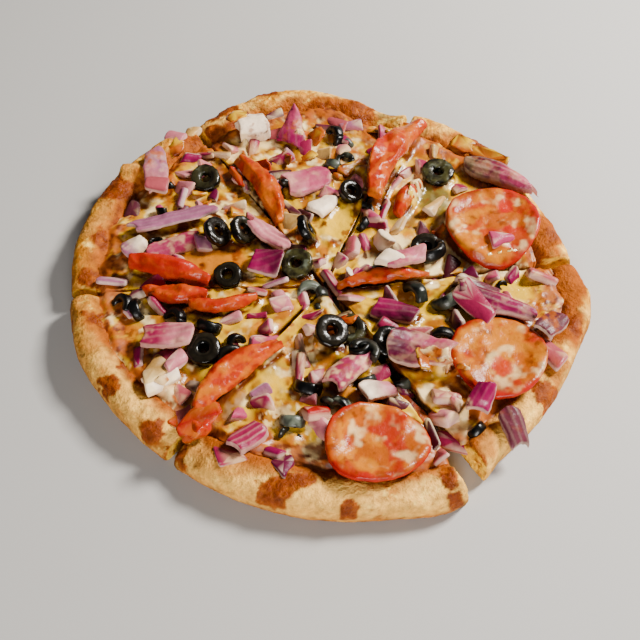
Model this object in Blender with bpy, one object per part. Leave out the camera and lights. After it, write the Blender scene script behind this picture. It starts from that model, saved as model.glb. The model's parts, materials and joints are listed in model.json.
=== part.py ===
"""A pan pizza cut in six: crust, melted cheese, tomato, olive and red onion.

Blender 4.5, metres, +Z up. The origin is in the middle of the round, on the plane that it rests on.
The slice that is drawn out lies towards +X and -Y. Sizes below are in millimetres and angles in
degrees, and solid() turns the sizes into metres.
"""
import math
from collections import namedtuple

import bmesh
import bpy
from mathutils import Matrix, Vector, noise
from mathutils.bvhtree import BVHTree

MM = 0.001

# The round
CUT_CENTRE = (-2.0, -14.0)
DOUGH_HEIGHT = 8.5
RIM_HEIGHT = 17.0
RIM_WIDTH = 19.0
RIM_WIDTH_SWAY = 2.5
RIM_NARROWING = 5.0
NARROW_ANGLE = 370.0
NARROW_REACH = 60.0
CHEESE_HEIGHT = 3.0
CHEESE_EDGE = 1.2
CHEESE_LUMPS = 1.1
GAP = 0.3
SHARP_ANGLE = 40.0

# The crust's section, in shares of the rim's width: 0 where the cheese stops, 1 at the outline
RISE_FROM = -0.4
RISE_TO = 0.5
FALL_FROM = 0.55
LIP_SHARE = 0.45
WELL_INSIDE = -5.0
FLOOR_RIPPLE = 0.5
CROWN_RIPPLE = 1.3
PLAIN_CRAG = 0.25

# How fast the uneven surfaces change, per millimetre
RIPPLE_RATE = 0.05
LUMP_RATE = 0.09
BUBBLE_RATE = 0.16

# The outline's distance from the middle, as angle in degrees and radius
OUTLINE = (
    (0, 124), (10, 122), (20, 121.5), (30, 121), (40, 125), (50, 123), (62, 121.5), (73, 120), (82, 124),
    (92, 129.6), (105, 131.8), (120, 129.4), (129, 127), (150, 130), (170, 130.5), (188, 128), (202, 128.5),
    (220, 125.5), (236, 125), (252, 127), (270, 129.7), (282, 131.8), (295, 136.6), (304, 128),
    (320, 126.5), (338, 127.5), (350, 131.6),
)

# Each slice lies between two cuts, and its point is drawn back from where the cuts meet
Slice = namedtuple("Slice", "number first last drawn_back")
SLICES = (
    Slice(1, 1.0, 65.2, 2.0), Slice(2, 66.8, 126.2, 2.0), Slice(3, 127.8, 187.4, 2.0),
    Slice(4, 188.8, 235.2, 2.5), Slice(5, 237.0, 296.0, 2.0), Slice(6, 301.0, 359.4, 7.0),
)

# A slice's mesh: columns across its angle, rows outward, then share and height steps down the wall
COLUMNS = 16
INNER_ROWS = (0.3, 0.55, 0.76, 0.9, 1.0)
RIM_ROWS = (0.22, 0.42, 0.6, 0.77, 0.91, 1.0)
WALL_STEPS = ((0.99, 0.18), (0.955, 0.0))

# Low, dark and craggy stretches of the rim: angle, half width in degrees, height change, crag depth
RIM_PATCHES = (
    (74, 7, -4.5, 0.6), (45, 12, -1.5, 1.6), (20, 9, -2.0, 1.0), (346, 11, -2.5, 1.8),
    (318, 16, -2.0, 0.7), (292, 10, -1.0, 1.2), (237, 7, -5.0, 1.0), (188, 6, -2.5, 0.6),
    (127, 6, -3.5, 0.8), (150, 14, 1.0, 0.3), (205, 14, 1.5, 0.5), (98, 12, 1.0, 0.4),
)

COLOURS = {
    "crust": (0.72, 0.47, 0.2), "cheese": (0.8, 0.62, 0.28), "tomato": (0.78, 0.13, 0.03),
    "olive": (0.03, 0.025, 0.018), "onion": (0.55, 0.2, 0.36),
}

# Toppings. Places are in the round's plane, headings run from +X towards +Y in degrees.
# Toppings with the lowest layer are laid first.
Disc = namedtuple("Disc", "layer x y radius squash heading thickness fold roll pitch")
Wedge = namedtuple("Wedge", "layer x y length width height heading bend roll pitch")
Ring = namedtuple("Ring", "layer x y radius hole thickness heading roll pitch")
Petal = namedtuple("Petal", "layer x y length width thickness heading arch roll pitch taper")

TOMATO_ROUNDS = (
    Disc(1, 83, 19.5, 24, 1.0, 0, 5.5, 0.0, 2, 0), Disc(1, 77, -57.5, 22.5, 1.0, 40, 5.5, 0.0, -2, 0),
    Disc(1, 20, -101, 23.5, 0.8, 8, 6.0, 5.0, 3, 0),
)
TOMATO_WEDGES = (
    Wedge(3, 38, 66, 66, 16, 10.5, 64, 8, 20, 4), Wedge(3, 42.5, 42, 27, 9, 8, 60, 2, 10, 0),
    Wedge(3, -37, 47.5, 52, 12, 8, -62, 4, -20, 0), Wedge(3, -77, -9.5, 42, 10.5, 9, -16, 2, 10, 0),
    Wedge(3, -73.5, -20, 32, 9, 8, -8, -3, 0, 0), Wedge(3, -50, -26, 33, 7, 7, 11, -3, 0, 0),
    Wedge(3, -39.5, -68, 50, 12, 10, 44, 4, -15, 0), Wedge(3, -57.5, -93, 14, 11, 8, 23, 0, 0, 0),
    Wedge(3, 27, -13.5, 46, 7, 6, 7, 2, 0, 0),
)
OLIVE_RINGS = (
    Ring(2, -65, 55.5, 8.2, 2.6, 5.0, 0, 14, 0), Ring(2, -57, 15.5, 8.3, 2.8, 4.6, 80, 42, 0),
    Ring(2, -44.5, 17, 7.6, 2.8, 5.0, 80, 46, 0), Ring(2, -13, 16, 8.0, 2.8, 4.8, 100, 66, 0),
    Ring(2, -15, -2.5, 8.2, 2.7, 5.2, -30, 20, 0), Ring(2, -48.5, -9.5, 7.2, 2.5, 5.0, -20, 16, 0),
    Ring(2, -57, -53.5, 8.4, 2.4, 5.5, 0, 6, 0), Ring(2, 10.5, -41, 7.8, 2.6, 4.4, -35, 8, 0),
    Ring(2, 0.5, -45.5, 8.4, 2.6, 4.6, 55, 24, 0), Ring(2, 27, -48.5, 8.0, 2.6, 5.0, 40, 22, 0),
    Ring(2, 59.5, 60, 8.6, 2.4, 5.6, 0, 8, 0), Ring(2, 49, 7.5, 8.4, 2.6, 5.0, 0, 14, 0),
    Ring(2, 11.5, 45.5, 6.8, 2.4, 5.0, 60, 24, 0),
)
ONION_PETALS = (
    Petal(4, -91, 57, 29, 12, 2.6, -80, 1.2, 0, -6, 0.0),
    Petal(1, -77, 10, 27, 12, 3.0, 22, 2.0, 12, 0, 0.2),
    Petal(4, -79, 23.5, 42, 11, 3.0, 18, 1.6, -14, 0, 0.1),
    Petal(1, -96, 5.5, 12, 11, 3.0, 38, 3.0, 0, 0, 0.1),
    Petal(4, -41.5, 92, 17, 15, 9.0, 10, 3.0, 0, 0, 0.2),
    Petal(4, -18.5, 93, 22, 17, 2.6, 80, 2.5, 0, -30, 0.85),
    Petal(4, -11, 54, 24, 17, 3.4, 24, 1.2, 0, 4, 0.1),
    Petal(4, -2.5, 37, 15, 12, 3.2, 48, 2.4, 0, 6, 0.3),
    Petal(4, -29.5, 14.5, 24, 10, 3.6, -38, 1.2, 0, 0, 0.1),
    Petal(4, -30.5, -3, 15, 14, 3.0, -8, 2.4, 0, 0, 0.0),
    Petal(4, -74, -48, 23, 13, 4.0, 4, 2.4, -8, 0, 0.0),
    Petal(4, -75, -68.5, 17, 11, 4.0, 40, 2.0, 0, 0, 0.1),
    Petal(4, 8.5, -66, 24, 12, 3.4, 46, 2.4, 0, 8, 0.1),
    Petal(4, -35, -98, 16, 11, 5.0, 40, 1.5, 0, 6, 0.1),
    Petal(4, 32, -31, 21, 12, 3.6, -14, 2.6, 10, 0, 0.3),
    Petal(4, 42.5, -55, 29, 17, 3.6, -14, 2.4, 6, 0, 0.3),
    Petal(4, 78, -27.5, 38, 13, 4.0, -22, 3.6, -8, 0, 0.3),
    Petal(4, 93, 54, 40, 14, 4.0, -38, 3.0, 0, -6, 0.5),
    Petal(4, 66, -81, 13, 12, 3.6, 62, 2.4, 0, 0, 0.3),
    Petal(4, 80, -93, 16, 12, 3.0, -72, 2.0, 0, -6, 0.1),
    Petal(4, 38, -4, 20, 12, 3.4, 18, 1.8, 0, 0, 0.3),
    Petal(4, 22, -74.5, 15, 10, 3.8, 16, 2.2, 0, 0, 0.3),
    Petal(4, 103, -42, 14, 10, 3.6, 38, 1.4, 0, -4, 0.1),
)

# Small toppings that are one with the slice's cheese: slice, place, length, width, height, heading
Morsel = namedtuple("Morsel", "slice x y length width height heading")
ONION_DICE = (
    Morsel(1, 57, 38, 16, 6, 4, 50), Morsel(1, 26, 24, 12, 6, 4, 20), Morsel(1, 86, 8, 12, 7, 4, 10),
    Morsel(1, 15, -4, 10, 6, 5, 50), Morsel(1, 19, 12, 12, 5, 5, -70),
    Morsel(2, -52, 81, 8, 7, 3, 20), Morsel(2, 0, 95, 12, 7, 3, 0), Morsel(2, 17, 62, 14, 12, 4, 24),
    Morsel(2, -25, 72, 12, 8, 4, 20), Morsel(2, -4, 3, 9, 5, 6, 44), Morsel(2, 0, 16, 13, 4, 5, -62),
    Morsel(3, -66, 63, 10, 8, 3, 15), Morsel(3, -77, 43, 12, 8, 4, 60),
    Morsel(4, -82, -34, 14, 5, 3, 10), Morsel(4, -76, -58, 14, 5, 3, 12), Morsel(4, -57, -76, 11, 8, 4, -48),
    Morsel(4, -60, -62, 10, 6, 3, -40), Morsel(4, -31, -41, 13, 6, 4, 10),
    Morsel(4, -23, -24, 12, 8, 5, -75),
    Morsel(5, -29, -80, 9, 8, 4, 20), Morsel(5, -40, -84, 9, 6, 4, 40), Morsel(5, -17, -95, 8, 6, 4, -50),
    Morsel(5, -7, -87, 15, 8, 4, -46), Morsel(5, -13, -62, 17, 3, 5, 84),
    Morsel(6, 51, -74, 9, 9, 4, 80), Morsel(6, 57, -79, 10, 8, 4, -20), Morsel(6, 61, -65, 12, 10, 4, 0),
)
OLIVE_PIECES = (
    Morsel(1, 25, 34, 7, 12, 5, 20), Morsel(2, 7, 79, 12, 11, 4, 0), Morsel(2, -24, 54, 9, 11, 3, 0),
    Morsel(2, 4, 91, 12, 8, 3, 0), Morsel(3, -83, 35, 12, 9, 3, 0), Morsel(4, -92, -26, 15, 10, 4, -6),
    Morsel(4, -72, -34, 12, 9, 4, 0), Morsel(4, -54, -39, 13, 10, 4, -10), Morsel(4, -43, -48, 9, 8, 4, 8),
    Morsel(5, -17, -77, 12, 12, 4, 0), Morsel(5, 19, -65, 10, 8, 4, -6), Morsel(5, 14, -55, 9, 8, 4, 30),
    Morsel(6, 55, -40, 9, 8, 3, 0), Morsel(6, 57, -18, 12, 7, 4, 18),
)
RIM_DICE = (
    Morsel(3, -105, 60, 13, 7, 2.5, -17), Morsel(6, 104, -59, 12, 8, 2, -62),
)
MORSEL_SINK = 1.2

# Laying down: a topping comes down in small steps, and a soft one follows the heights around it
LIFT_STEP = 0.25
HIGHEST_LIFT = 16.0
LOWEST_LIFT = -10.0
DRAPE_REACH = 5.0


def material(slot):
    """The plain Principled material of one kind of food."""
    name = "pizza_" + slot
    found = bpy.data.materials.get(name)
    if found:
        return found
    made = bpy.data.materials.new(name)
    made.use_nodes = True
    shader = made.node_tree.nodes["Principled BSDF"]
    shader.inputs["Base Color"].default_value = (*COLOURS[slot], 1.0)
    shader.inputs["Roughness"].default_value = 0.25 if slot == "olive" else 0.5
    return made


def solid(name, points, faces, slot):
    """A closed mesh object from points in millimetres, with every face split into triangles."""
    mesh = bpy.data.meshes.new(name)
    mesh.from_pydata([Vector(p) * MM for p in points], [], faces)
    shape = bmesh.new()
    shape.from_mesh(mesh)
    bmesh.ops.triangulate(shape, faces=[f for f in shape.faces if len(f.verts) > 3])
    bmesh.ops.recalc_face_normals(shape, faces=shape.faces)
    shape.to_mesh(mesh)
    shape.free()
    mesh.shade_smooth()
    mesh.set_sharp_from_angle(angle=math.radians(SHARP_ANGLE))
    mesh.materials.append(material(slot))
    made = bpy.data.objects.new(name, mesh)
    bpy.context.collection.objects.link(made)
    return made


def smooth_step(low, high, value):
    """0 below low, 1 above high and an easy curve between."""
    share = min(max((value - low) / (high - low), 0.0), 1.0)
    return share * share * (3.0 - 2.0 * share)


def turned(x, y, heading):
    """The point (x, y) turned about the origin by a heading in degrees."""
    angle = math.radians(heading)
    return (x * math.cos(angle) - y * math.sin(angle), x * math.sin(angle) + y * math.cos(angle))


# Crust and cheese

def outline_radius(angle):
    """The round's radius at an angle in degrees, on an even curve through the outline's points."""
    angle = angle % 360.0
    count = len(OUTLINE)
    after = next((i for i in range(count) if OUTLINE[i][0] > angle), 0)
    chosen = [OUTLINE[(after + step) % count] for step in (-2, -1, 0, 1)]
    span = (chosen[2][0] - chosen[1][0]) % 360.0
    t = ((angle - chosen[1][0]) % 360.0) / span
    a, b, c, d = (radius for _, radius in chosen)
    curve = 2 * b + (c - a) * t + (2 * a - 5 * b + 4 * c - d) * t ** 2 + (3 * b - a - 3 * c + d) * t ** 3
    return 0.5 * curve


def rim_patch(angle):
    """Height change and crag depth of the rim at an angle."""
    rise = 0.0
    crag = PLAIN_CRAG
    for middle, half, height, depth in RIM_PATCHES:
        away = abs((angle - middle + 180.0) % 360.0 - 180.0)
        share = 1.0 - smooth_step(0.3 * half, 1.3 * half, away)
        rise += share * height
        crag += share * depth
    return rise, crag


def rim_width(angle):
    """How far in from the outline the cheese stops."""
    sway = RIM_WIDTH_SWAY * math.sin(math.radians(3 * angle + 40))
    return RIM_WIDTH + sway - RIM_NARROWING * smooth_step(NARROW_REACH, 0, abs(angle - NARROW_ANGLE))


def crust_height(x, y, rim_share, angle):
    """Height of the crust's top, where rim_share is 0 at the cheese's edge and 1 at the outline."""
    rise, crag = rim_patch(angle)
    ripple = noise.noise(Vector((x, y, 0.0)) * RIPPLE_RATE)
    floor = DOUGH_HEIGHT + FLOOR_RIPPLE * ripple
    crown = RIM_HEIGHT + rise + CROWN_RIPPLE * ripple
    height = floor + (crown - floor) * smooth_step(RISE_FROM, RISE_TO, rim_share)
    if rim_share > FALL_FROM:
        fall = (rim_share - FALL_FROM) / (1.0 - FALL_FROM)
        height = crown * (LIP_SHARE + (1.0 - LIP_SHARE) * math.sqrt(max(0.0, 1.0 - fall * fall)))
    bubbles = noise.noise(Vector((x, y, 7.0)) * BUBBLE_RATE)
    return height + crag * bubbles * smooth_step(-0.2, 0.2, rim_share)


def columns(cut):
    """For each column of a slice: its angle, the unit way out, its length and its rim's share."""
    middle = math.radians(0.5 * (cut.first + cut.last))
    point = Vector((CUT_CENTRE[0] + cut.drawn_back * math.cos(middle),
                    CUT_CENTRE[1] + cut.drawn_back * math.sin(middle)))
    found = []
    for step in range(COLUMNS + 1):
        angle = cut.first + (cut.last - cut.first) * step / COLUMNS
        radius = outline_radius(angle)
        end = Vector((math.cos(math.radians(angle)), math.sin(math.radians(angle)))) * radius
        found.append((angle, end - point, rim_width(angle)))
    return point, found


def inner_points(point, column):
    """Places on one column from the slice's point to the cheese's edge."""
    angle, way, width = column
    reach = way.length - width
    places = []
    for share in INNER_ROWS:
        place = point + way.normalized() * reach * share
        rim_share = -(reach * (1.0 - share)) / width
        places.append((place.x, place.y, crust_height(place.x, place.y, rim_share, angle)))
    return places


def outer_points(point, column):
    """Places on one column over the rim and down its wall to the flat underside."""
    angle, way, width = column
    places = []
    for share in RIM_ROWS:
        place = point + way.normalized() * (way.length - width * (1.0 - share))
        places.append((place.x, place.y, crust_height(place.x, place.y, share, angle)))
    for share, height in WALL_STEPS:
        place = point + way.normalized() * (way.length - width * (1.0 - share))
        places.append((place.x, place.y, RIM_HEIGHT * height))
    return places


def fan_and_strips(tip, rows):
    """Faces of a sheet that starts as a fan at one vertex: rows[column][row] holds vertex numbers."""
    faces = []
    for near, far in zip(rows, rows[1:]):
        faces.append((tip, near[0], far[0]))
        for i in range(len(near) - 1):
            faces.append((near[i], near[i + 1], far[i + 1]))
            faces.append((near[i], far[i + 1], far[i]))
    return faces


def dough_slice(cut):
    """One slice of crust, from its point to the browned rim, with flat cut sides."""
    point, sides = columns(cut)
    tip_height = crust_height(point.x, point.y, WELL_INSIDE, cut.first)
    points = [(point.x, point.y, 0.0), (point.x, point.y, tip_height)]
    rows = []
    for column in sides:
        places = inner_points(point, column) + outer_points(point, column)
        rows.append(list(range(len(points), len(points) + len(places))))
        points += places
    faces = fan_and_strips(1, rows)
    faces += [(0, far[-1], near[-1]) for near, far in zip(rows, rows[1:])]
    faces += [[0, 1] + rows[0], [0, 1] + rows[-1]]
    return solid(f"dough_slice_{cut.number}", points, faces, "crust")


def cheese_depth(x, y, share):
    """Thickness of sauce and cheese, thin at the edge and uneven elsewhere."""
    lumps = noise.noise(Vector((x, y, 3.0)) * LUMP_RATE)
    lumps += 0.5 * noise.noise(Vector((x, y, 9.0)) * BUBBLE_RATE)
    full = CHEESE_HEIGHT + CHEESE_LUMPS * lumps
    return CHEESE_EDGE + (full - CHEESE_EDGE) * smooth_step(1.0, 0.86, share)


def cheese_slice(cut):
    """One slice's sauce and melted cheese, which follows the crust with a hair of room."""
    point, sides = columns(cut)
    floor = crust_height(point.x, point.y, WELL_INSIDE, cut.first) + GAP
    points = [(point.x, point.y, floor), (point.x, point.y, floor + CHEESE_HEIGHT)]
    below = []
    above = []
    for column in sides:
        places = inner_points(point, column)
        below.append(list(range(len(points), len(points) + len(places))))
        points += [(x, y, z + GAP) for x, y, z in places]
        above.append(list(range(len(points), len(points) + len(places))))
        for (x, y, z), share in zip(places, INNER_ROWS):
            points.append((x, y, z + GAP + cheese_depth(x, y, share)))
    faces = fan_and_strips(1, above)
    faces += [face[::-1] for face in fan_and_strips(0, below)]
    for i in range(COLUMNS):
        faces.append((below[i][-1], below[i + 1][-1], above[i + 1][-1], above[i][-1]))
    faces += [[0] + below[0] + above[0][::-1] + [1], [0] + below[-1] + above[-1][::-1] + [1]]
    return solid(f"cheese_slice_{cut.number}", points, faces, "cheese")


# Toppings, each made about its own middle with its underside near z = 0

def ring_faces(rings, wrap):
    """Faces between neighbouring loops of vertex numbers, closed end to end where wrap is set."""
    pairs = list(zip(rings, rings[1:]))
    if wrap:
        pairs.append((rings[-1], rings[0]))
    faces = []
    for near, far in pairs:
        for i in range(len(near)):
            j = (i + 1) % len(near)
            faces.append((near[i], near[j], far[j], far[i]))
    return faces


def disc_shape(disc):
    """A round slice of tomato: a proud skin, a dished face and, where it has one, a folded side."""
    sides = 18
    profile = ((0.55, 0.74), (0.86, 0.98), (0.97, 0.86), (1.0, 0.45), (0.94, 0.06), (0.5, 0.0))
    points = [(0.0, 0.0, 0.8 * disc.thickness)]
    rings = []
    for share, height in profile:
        rings.append(list(range(len(points), len(points) + sides)))
        for i in range(sides):
            angle = 2 * math.pi * i / sides
            radius = disc.radius * share * (1.0 + 0.035 * math.sin(3 * angle + disc.heading))
            x = radius * math.cos(angle)
            y = radius * math.sin(angle) * disc.squash
            lift = disc.fold * smooth_step(0.35, 1.0, -math.cos(angle + 0.7) * share)
            points.append((x, y, height * disc.thickness + lift))
    points.append((0.0, 0.0, 0.0))
    faces = ring_faces(rings, False)
    for i in range(sides):
        j = (i + 1) % sides
        faces.append((0, rings[0][i], rings[0][j]))
        faces.append((len(points) - 1, rings[-1][j], rings[-1][i]))
    return points, faces


def wedge_shape(wedge):
    """A tomato wedge: a curved skin back, two wet cut sides and tapering ends."""
    section = ((-0.5, 0.0), (-0.52, 0.4), (-0.3, 0.85), (0.12, 1.0), (0.5, 0.62), (0.42, 0.0))
    steps = 8
    points = []
    rings = []
    for step in range(steps + 1):
        share = step / steps
        fullness = 0.3 + 0.7 * math.sin(math.pi * min(max(share, 0.04), 0.96)) ** 0.6
        along = wedge.length * (share - 0.5)
        side = wedge.bend * (1.0 - (2.0 * share - 1.0) ** 2)
        rings.append(list(range(len(points), len(points) + len(section))))
        for across, up in section:
            bumps = 1.0 + 0.12 * noise.noise(Vector((along * BUBBLE_RATE, across * 2, up + wedge.x)))
            size = fullness * bumps
            points.append((along, side + across * wedge.width * size, up * wedge.height * size))
    faces = ring_faces(rings, False) + [rings[0][::-1], rings[-1]]
    return points, faces


def ring_shape(ring):
    """A slice of olive: two flat cut faces, a rounded skin and the hole where the stone was."""
    sides = 12
    middle = 0.5 * (ring.radius + ring.hole)
    profile = ((ring.hole, 0.12), (ring.hole * 1.06, 0.88), (middle, 1.0), (ring.radius * 0.97, 0.86),
               (ring.radius, 0.4), (ring.radius * 0.93, 0.0))
    points = []
    loops = []
    for i in range(sides):
        angle = 2 * math.pi * i / sides
        loops.append(list(range(len(points), len(points) + len(profile))))
        for radius, height in profile:
            uneven = 1.0 + 0.04 * math.sin(2 * angle + ring.x)
            x = radius * uneven * math.cos(angle)
            points.append((x, radius * math.sin(angle), height * ring.thickness))
    return points, ring_faces(loops, True)


def petal_shape(petal):
    """A cut piece of onion layer: arched across its width, narrower to one end by its taper."""
    along_steps = 3
    across_steps = 4
    count = (along_steps + 1) * (across_steps + 1)
    tops = []
    for i in range(along_steps + 1):
        for j in range(across_steps + 1):
            share = i / along_steps
            across = 2.0 * j / across_steps - 1.0
            half = 0.5 * petal.width * (1.0 - petal.taper * share ** 1.5)
            arch = petal.arch * (1.0 - across * across) * (1.0 - 0.4 * petal.taper * share)
            skew = 0.07 * petal.length * math.sin(petal.x + 2.0 * across)
            tops.append((petal.length * (share - 0.5) + skew, across * half, arch))
    points = [(x, y, z + petal.thickness) for x, y, z in tops] + tops
    faces = []
    width = across_steps + 1
    for i in range(along_steps):
        for j in range(across_steps):
            a = i * width + j
            b = a + width
            faces += [(a, b, b + 1), (a, b + 1, a + 1)]
            faces += [(b + 1 + count, b + count, a + count), (a + 1 + count, b + 1 + count, a + count)]
    edge = list(range(width)) + [i * width + across_steps for i in range(1, along_steps + 1)]
    edge += [along_steps * width + j for j in range(across_steps - 1, -1, -1)]
    edge += [i * width for i in range(along_steps - 1, 0, -1)]
    for i, a in enumerate(edge):
        b = edge[(i + 1) % len(edge)]
        faces.append((a, b, b + count, a + count))
    return points, faces


# Laying toppings down

class Pile:
    """Everything that has been laid so far, which the next topping comes to rest on."""

    def __init__(self):
        self.trees = []

    def add(self, made):
        points = [v.co / MM for v in made.data.vertices]
        self.trees.append(BVHTree.FromPolygons(points, [tuple(p.vertices) for p in made.data.polygons]))

    def height(self, x, y):
        hits = [tree.ray_cast(Vector((x, y, 90.0)), Vector((0, 0, -1)))[0] for tree in self.trees]
        return max([hit.z for hit in hits if hit] + [0.0])

    def soft_height(self, x, y):
        around = [(0.0, 0.0)] + [turned(DRAPE_REACH, 0.0, 60 * i) for i in range(6)]
        return sum(self.height(x + dx, y + dy) for dx, dy in around) / len(around)

    def clear(self, points, faces):
        tree = BVHTree.FromPolygons(points, faces)
        return not any(tree.overlap(other) for other in self.trees)


def swollen(points, faces):
    """The same points moved out by the gap, to test for room."""
    shape = bmesh.new()
    verts = [shape.verts.new(p) for p in points]
    for face in faces:
        shape.faces.new([verts[i] for i in face])
    bmesh.ops.recalc_face_normals(shape, faces=shape.faces)
    shape.normal_update()
    moved = [v.co + v.normal * GAP for v in verts]
    shape.free()
    return moved


def lay(pile, name, topping, shape, slot, soft):
    """Turn a topping, let it follow what is below as far as it is soft, and lower it to rest."""
    points, faces = shape
    roll = Matrix.Rotation(math.radians(topping.roll), 3, "X")
    pitch = Matrix.Rotation(math.radians(topping.pitch), 3, "Y")
    turn = Matrix.Rotation(math.radians(topping.heading), 3, "Z") @ pitch @ roll
    placed = [turn @ Vector(p) + Vector((topping.x, topping.y, 0.0)) for p in points]
    middle = pile.soft_height(topping.x, topping.y)
    for p in placed:
        p.z += middle + soft * (pile.soft_height(p.x, p.y) - middle)
    fat = swollen(placed, faces)
    lift = HIGHEST_LIFT
    while lift > LOWEST_LIFT and pile.clear([p + Vector((0, 0, lift - LIFT_STEP)) for p in fat], faces):
        lift -= LIFT_STEP
    made = solid(name, [p + Vector((0, 0, lift)) for p in placed], faces, slot)
    pile.add(made)


def morsel(pile, size, slot):
    """A small block, arched on top, that reaches into the cheese below."""
    long_steps = (-0.5, 0.5)
    arch = ((-0.5, 0.0), (-0.5, 0.75), (0.0, 1.0), (0.5, 0.7), (0.5, 0.0))
    if slot == "olive":
        arch = ((-0.4, 0.0), (-0.5, 0.5), (-0.2, 1.0), (0.25, 1.0), (0.5, 0.5), (0.4, 0.0))
        long_steps = (-0.5, -0.3, 0.3, 0.5)
    base = pile.height(size.x, size.y) - MORSEL_SINK
    points = []
    rings = []
    for step in long_steps:
        narrow = 0.6 if slot == "olive" and abs(step) > 0.4 else 1.0
        rings.append(list(range(len(points), len(points) + len(arch))))
        for across, up in arch:
            x, y = turned(step * size.length, across * size.width * narrow, size.heading)
            points.append((size.x + x, size.y + y, base + up * narrow * (size.height + MORSEL_SINK)))
    faces = ring_faces(rings, False) + [rings[0][::-1], rings[-1]]
    return solid("morsel", points, faces, slot)


def fuse(body, pieces):
    """Join the small pieces to the body by one union and remove them."""
    if not pieces:
        return
    group = bpy.data.collections.new("small_toppings")
    bpy.context.scene.collection.children.link(group)
    for piece in pieces:
        bpy.context.collection.objects.unlink(piece)
        group.objects.link(piece)
    union = body.modifiers.new("toppings", "BOOLEAN")
    union.operation = "UNION"
    union.operand_type = "COLLECTION"
    union.collection = group
    graph = bpy.context.evaluated_depsgraph_get()
    joined = bpy.data.meshes.new_from_object(body.evaluated_get(graph))
    body.modifiers.clear()
    body.data = joined
    for piece in pieces:
        bpy.data.objects.remove(piece)
    bpy.data.collections.remove(group)


def make_slices(pile):
    """All crusts, then all cheeses with their own small toppings."""
    for cut in SLICES:
        crust = dough_slice(cut)
        own = Pile()
        own.add(crust)
        fuse(crust, [morsel(own, size, "onion") for size in RIM_DICE if size.slice == cut.number])
        pile.add(crust)
    for cut in SLICES:
        cheese = cheese_slice(cut)
        own = Pile()
        own.add(cheese)
        bits = [morsel(own, size, "onion") for size in ONION_DICE if size.slice == cut.number]
        bits += [morsel(own, size, "olive") for size in OLIVE_PIECES if size.slice == cut.number]
        fuse(cheese, bits)
        pile.add(cheese)


KINDS = (
    ("tomato_round", TOMATO_ROUNDS, disc_shape, "tomato", 1.0),
    ("tomato_wedge", TOMATO_WEDGES, wedge_shape, "tomato", 0.8),
    ("olive_ring", OLIVE_RINGS, ring_shape, "olive", 0.0),
    ("onion_petal", ONION_PETALS, petal_shape, "onion", 0.6),
)


def make_toppings(pile):
    """The larger toppings, layer by layer from the lowest."""
    waiting = []
    for kind, table, shape, slot, soft in KINDS:
        for number, topping in enumerate(table, 1):
            waiting.append((topping.layer, len(waiting), f"{kind}_{number}", topping, shape, slot, soft))
    for _, _, name, topping, shape, slot, soft in sorted(waiting):
        lay(pile, name, topping, shape(topping), slot, soft)


def main():
    for old in list(bpy.data.objects):
        bpy.data.objects.remove(old)
    pile = Pile()
    make_slices(pile)
    make_toppings(pile)


main()
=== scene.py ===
# %% [markdown]
# # A pan pizza, cut in six
# The solids of this pizza come ready made: crust slices, a layer of cheese on each, and the larger
# toppings. They are true in size and place but plain. This lesson grows a detailed skin over each
# of them, paints it point by point from rules, and lights it like a plate of food in a studio.

# %% Load the plain pizza
import json
import math
from collections import namedtuple
from itertools import product

import bpy
import numpy as np
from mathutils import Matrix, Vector
from mathutils.bvhtree import BVHTree

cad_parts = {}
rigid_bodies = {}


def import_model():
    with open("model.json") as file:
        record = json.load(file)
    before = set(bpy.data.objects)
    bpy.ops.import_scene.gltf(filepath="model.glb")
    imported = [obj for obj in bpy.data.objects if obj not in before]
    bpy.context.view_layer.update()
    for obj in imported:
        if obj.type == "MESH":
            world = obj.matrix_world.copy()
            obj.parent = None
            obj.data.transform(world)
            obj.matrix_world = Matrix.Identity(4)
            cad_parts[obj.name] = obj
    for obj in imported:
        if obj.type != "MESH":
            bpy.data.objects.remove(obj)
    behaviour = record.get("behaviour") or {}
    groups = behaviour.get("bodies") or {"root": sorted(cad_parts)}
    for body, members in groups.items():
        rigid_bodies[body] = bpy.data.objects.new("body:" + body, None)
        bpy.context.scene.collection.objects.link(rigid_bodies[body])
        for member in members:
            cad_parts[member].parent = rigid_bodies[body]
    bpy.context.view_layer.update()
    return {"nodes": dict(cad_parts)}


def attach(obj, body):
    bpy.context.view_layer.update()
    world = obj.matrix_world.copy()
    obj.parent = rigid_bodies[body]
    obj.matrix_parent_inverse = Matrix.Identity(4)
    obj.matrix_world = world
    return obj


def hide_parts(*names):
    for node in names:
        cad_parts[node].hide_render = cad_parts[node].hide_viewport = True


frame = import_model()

MM = 0.001

# %% [markdown]
# ## Colours, blends and noise
# Food has no flat colours. Every point of every piece gets its own, blended from a few base colours
# by soft masks and by noise. The noise is worked out for all points at once with arrays, which is
# much faster than asking for one point at a time. The colours are written as they should look on
# screen. Blender's view mixes grey into bright colours, so that share of grey is taken out first.

# %% Colours and blends
GREY_SHARE = 0.45
LUMINANCE = np.array((0.21, 0.72, 0.07))
DARKEST = 0.004
CONTRAST = 1.5
DARK_GAIN, LIGHT_GAIN = 0.5, 0.7


def colour(red, green, blue):
    """The pigment, in linear values, that looks like a screen colour when it is lit."""
    shares = np.array((red, green, blue)) / 255.0
    linear = np.where(shares <= 0.04045, shares / 12.92, ((shares + 0.055) / 1.055) ** 2.4)
    light = linear @ LUMINANCE
    grey = GREY_SHARE * light
    hue = np.clip((linear / linear.max() - grey) / (1.0 - grey), DARKEST, 1.0)
    return linear.max() ** CONTRAST * (DARK_GAIN + LIGHT_GAIN * light) * hue


def ramp(low, high, value):
    """0 at low, 1 at high, with an easy curve between; low may be the larger."""
    share = np.clip((value - low) / (high - low), 0.0, 1.0)
    return share * share * (3.0 - 2.0 * share)


def blend(under, over, share):
    """Colours laid over colours, as strongly as share says for each point."""
    return under + (over - under) * np.clip(share, 0.0, 1.0)[:, None]


def flat(tone, count):
    """The same colour for each of count points."""
    return np.tile(tone, (count, 1))


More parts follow.
